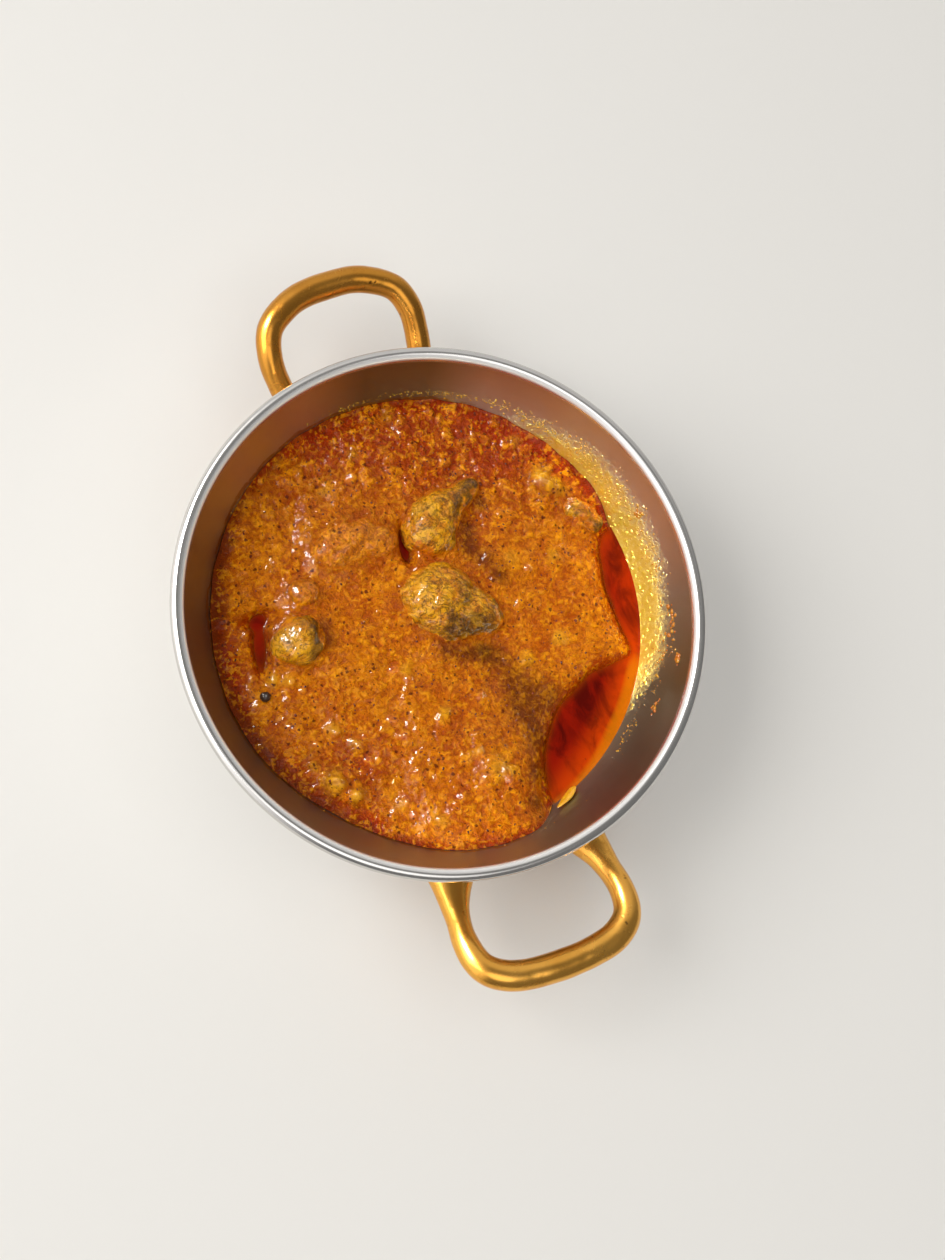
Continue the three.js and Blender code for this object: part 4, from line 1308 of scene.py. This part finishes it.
def grains(name, places, ups, sizes, material, slot, rng, tones=None):
    # A knobbly icosahedron at each place: three half sizes, turned at random about its own up
    corners, faces = twenty()
    count = len(places)
    shape = corners[None] * (1 + rng.uniform(-0.28, 0.28, (count, 12, 1))) * sizes[:, None]
    ups = unit(ups)
    side = unit(np.cross(ups, (0.3, 1, 0.2)))
    ahead = np.cross(ups, side)
    turn = rng.uniform(0, 2 * math.pi, count)[:, None]
    first = side * np.cos(turn) + ahead * np.sin(turn)
    second = np.cross(ups, first)
    points = places[:, None] + shape[..., :1] * first[:, None]
    points = points + shape[..., 1:2] * second[:, None] + shape[..., 2:] * ups[:, None]
    index = (faces[None] + 12 * np.arange(count)[:, None, None]).reshape(-1, 3)
    values = {"tone": np.repeat(rng.uniform(0, 1, count) if tones is None else tones, 12)}
    piece = meshFrom(name, points.reshape(-1, 3), [index], material, values)
    settle(piece, slot)


def grainMaterial(name, colors, rough, coat):
    material, tree, shader, place = newMaterial(name)
    fine = noise(tree, place, 0.5, 3, 0.6)
    color = mixed(tree, attribute(tree, "tone"), *colors)
    stain = stepped(tree, fine, 0.4, 0.7, 0.0, 0.35)
    give(tree, shader, {
        "Base Color": mixed(tree, stain, color, (0.02, 0.006, 0.001, 1)), "Roughness": rough,
        "Specular IOR Level": 0.25, "Coat Weight": coat, "Coat Roughness": 0.08,
    })
    bumped(tree, shader, fine, 0.4, 0.1)
    return material


def surfaceNormal(x, y):
    # From the heights a little to each side
    d = 0.4
    dx = (masalaSurface(x + d, y)[0] - masalaSurface(x - d, y)[0]) / (2 * d)
    dy = (masalaSurface(x, y + d)[0] - masalaSurface(x, y - d)[0]) / (2 * d)
    return unit(np.stack([-dx, -dy, np.ones(x.shape)], -1))


spice = {
    "count": 1500,  # at most
    "tries": 9000,
    "reach": 73,  # distance from the middle
    "small": 0.12,
    "large": 0.5,
    "seed": 7,
    "colors": (srgb(88, 22, 2), srgb(150, 62, 8)),
}


def flatSizes(size, across, thin, rng):
    # Three half sizes for each grain: long, across and thick
    ranges = ((0.8, across[0]), across[1:], thin)
    return size[:, None] * np.stack([rng.uniform(*reach, len(size)) for reach in ranges], -1)


def makeSpice():
    # Chilli flakes and ground spice: more at the back and the left edge, none on the oil
    rng, tries = np.random.default_rng(spice["seed"]), spice["tries"]
    radius = spice["reach"] * np.sqrt(rng.uniform(0, 1, tries))
    turn = rng.uniform(-math.pi, math.pi, tries)
    x, y = onCircle(radius, turn)
    crowd = 0.35 + 0.5 * oiliness(x, y) + 0.25 * cloud(x, y, 0, 14, 3, 71)
    free = (masalaHeight(x, y) > oilLevel + 0.2) & (meatNearness(x, y) > 0.8)
    free &= radius < masalaEdge(turn) - 0.8
    keep = np.flatnonzero(free & (rng.uniform(0, 1, tries) < crowd))[:spice["count"]]
    x, y = x[keep], y[keep]
    z, _ = masalaSurface(x, y)
    share = rng.uniform(0, 1, len(x)) ** 3.2
    size = spice["small"] + (spice["large"] - spice["small"]) * share
    sizes = flatSizes(size, (1.5, 0.6, 1.0), (0.35, 0.7), rng)
    material = grainMaterial("spiceFlake", spice["colors"], 0.5, 0.2)
    places = np.stack([x, y, z], -1)
    grains("spiceFlakes", places, surfaceNormal(x, y), sizes, material, "masala", rng)


def wallPoint(angle, z, off):
    # A point on the inner wall, and the way it faces
    lean = np.arccos((arcMiddle[1] - z) / dish["wallArc"])
    radius = arcMiddle[0] + (dish["wallArc"] - off) * np.sin(lean)
    height = arcMiddle[1] - (dish["wallArc"] - off) * np.cos(lean)
    facing = np.stack([*onCircle(-np.sin(lean), angle), np.cos(lean)], -1)
    return np.stack([*onCircle(radius, angle), height], -1), facing


# Droplets and crumbs on the wall: angle and its spread in degrees, height and its spread, how
# many, half size, and how orange they are, 0 to 1
crumbClusters = [
    (62, 12, 38.2, 1.3, 90, 0.24, 0.1), (46, 10, 38.6, 2.6, 150, 0.28, 0.1),
    (32, 10, 38.4, 4.2, 170, 0.29, 0.15), (18, 9, 38.0, 5.0, 120, 0.27, 0.2),
    (6, 8, 39.0, 5.0, 90, 0.27, 0.3), (-6, 8, 37.5, 5.0, 70, 0.30, 0.4),
    (-19, 4, 43.0, 2.2, 30, 0.62, 0.7), (-24, 5, 39.5, 3.6, 50, 0.42, 0.6),
    (-28.5, 1.4, 46.0, 0.9, 14, 0.85, 0.9), (-40, 1.8, 40.5, 1.1, 16, 0.6, 0.9),
    (-33, 6, 36.5, 3.4, 40, 0.34, 0.5), (-48, 8, 34.0, 1.8, 50, 0.3, 0.5),
    (9, 2.2, 41.5, 1.3, 20, 0.5, 0.6), (94, 9, 36.8, 1.2, 60, 0.26, 0.3),
    (76, 9, 37.6, 1.3, 80, 0.25, 0.2), (112, 9, 34.2, 1.1, 70, 0.28, 0.4),
    (130, 12, 33.6, 1.0, 30, 0.24, 0.5), (165, 25, 32.2, 0.8, 24, 0.2, 0.6),
    (-150, 22, 31.0, 0.9, 24, 0.2, 0.6), (-80, 14, 38.4, 0.6, 20, 0.2, 0.6),
]


crumbs = {"highest": 50, "seed": 19, "colors": (srgb(222, 180, 48), srgb(206, 112, 14))}


def makeCrumbs():
    # Bits of sauce and oil dried on the wall, thrown round each cluster's middle
    rng = np.random.default_rng(crumbs["seed"])
    angle, z, size, tone = [], [], [], []
    for middle, spread, height, tall, count, half, orange in crumbClusters:
        angle.append(np.radians(middle + spread * rng.normal(0, 0.55, count)))
        z.append(height + tall * rng.normal(0, 0.5, count))
        size.append(half * (0.4 + 1.0 * rng.uniform(0, 1, count) ** 2))
        tone.append(np.clip(orange + rng.uniform(-0.3, 0.3, count), 0, 1))
    angle, z, size, tone = (np.concatenate(v) for v in (angle, z, size, tone))
    radius = innerRadius(z)
    ground = masalaHeight(*onCircle(radius, angle))
    keep = (z > np.maximum(ground, oilLevel) + 0.6) & (z < crumbs["highest"])
    angle, z, size, tone = angle[keep], z[keep], size[keep], tone[keep]
    place, facing = wallPoint(angle, z, size * 0.2)
    sizes = flatSizes(size, (1.4, 0.7, 1.1), (0.35, 0.7), rng)
    material = grainMaterial("driedSauce", crumbs["colors"], 0.35, 0.5)
    grains("wallCrumbs", place, facing, sizes, material, "masala", rng, tone)


pepper = {"place": (-60, -8), "radius": 1.7, "colors": (srgb(34, 20, 12), srgb(60, 34, 20))}


def makePeppercorn():
    # A ball with folds: its radius shrinks along wandering creases
    ways = ballWays(64, 40)
    crease = np.abs(cloud(*np.moveaxis(ways, -1, 0), 0.75, 2, 81))
    radius = pepper["radius"] * (0.86 + 0.2 * np.sqrt(crease))
    x, y = pepper["place"]
    middle = np.array([x, y, float(masalaHeight(x, y)) + pepper["radius"] * 0.35])
    material = grainMaterial("pepper", pepper["colors"], 0.42, 0.6)
    corn = surface("peppercorn", middle + ways * radius[..., None], material,
                   {"tone": crease}, closed=True, poles=True)
    settle(corn, "masala")


sliver = {
    "angle": -68.0,
    "sweep": -8.0,
    "lowest": 31.0,
    "highest": 34.0,
    "width": 4.0,
    "thickness": 1.9,
    "colors": (srgb(226, 140, 4), srgb(250, 196, 24)),
}


def makeSliver():
    # An oval section carried up the wall at a slant, tapering to both ends
    share = np.linspace(0, 1, 60)[:, None]
    turn = np.linspace(0, 2 * math.pi, 36, endpoint=False)[None, :]
    angle = np.radians(sliver["angle"] + sliver["sweep"] * share)
    z = sliver["lowest"] + (sliver["highest"] - sliver["lowest"]) * share
    taper = np.sin(math.pi * np.clip(share, 0.002, 0.998)) ** 0.5 * (1 - 0.45 * share)
    middle, facing = wallPoint(angle[:, 0], z[:, 0], 0.3 + sliver["thickness"] / 2)
    across = np.cross(facing, unit(np.gradient(middle, axis=0)))
    wide = sliver["width"] / 2 * taper * np.sin(turn)
    tall = sliver["thickness"] / 2 * taper * np.cos(turn)
    points = middle[:, None] + across[:, None] * wide[..., None]
    points = points + facing[:, None] * tall[..., None]
    bend = 0.16 * cloud(*np.moveaxis(points, -1, 0), 2.4, 2, 91)
    points = points + facing[:, None] * bend[..., None]
    points[0], points[-1] = points[0].mean(0), points[-1].mean(0)
    piece = surface("gingerSliver", points, gingerMaterial(), closed=True, poles=True, flip=True)
    settle(piece, "ginger", "ginger_sliver")


def gingerMaterial():
    material, tree, shader, place = newMaterial("ginger")
    strands = noise(tree, place, 1.2, 4, 0.6)
    give(tree, shader, {
        "Base Color": mixed(tree, strands, *sliver["colors"]), "Roughness": 0.35,
        "Coat Weight": 0.7, "Coat Roughness": 0.08,
    })
    bumped(tree, shader, strands, 0.4, 0.3)
    return material


def plainFloor():
    material, tree, shader, place = newMaterial("tableTop")
    color = studio["floorColor"]
    tint = noise(tree, place, 400, 2, 0.5)
    color = mixed(tree, tint, (*color, 1), (*(0.985 * c for c in color), 1))
    give(tree, shader, {"Base Color": color, "Roughness": 0.75, "Specular IOR Level": 0.3})
    return material


makeCamera()
makeStudio()
print("camera, light and floor made")
makeBowl()
print("bowl made")
brass = brassMaterial()
makeHandle("handleBack", "handle_back", backHandle, 1, brass)
makeHandle("handleFront", "handle_front", frontHandle, -1, brass)
print("handles made")
makeMasala()
print("masala made")
lamb = lambMaterial()
for pieceName in meatPieces:
    makeMeat(pieceName, lamb)
print("meat made")
makeOil()
makeSliver()
makePeppercorn()
makeSpice()
makeCrumbs()
print("oil and small things made")

bpy.context.scene.view_settings.view_transform = "Standard"
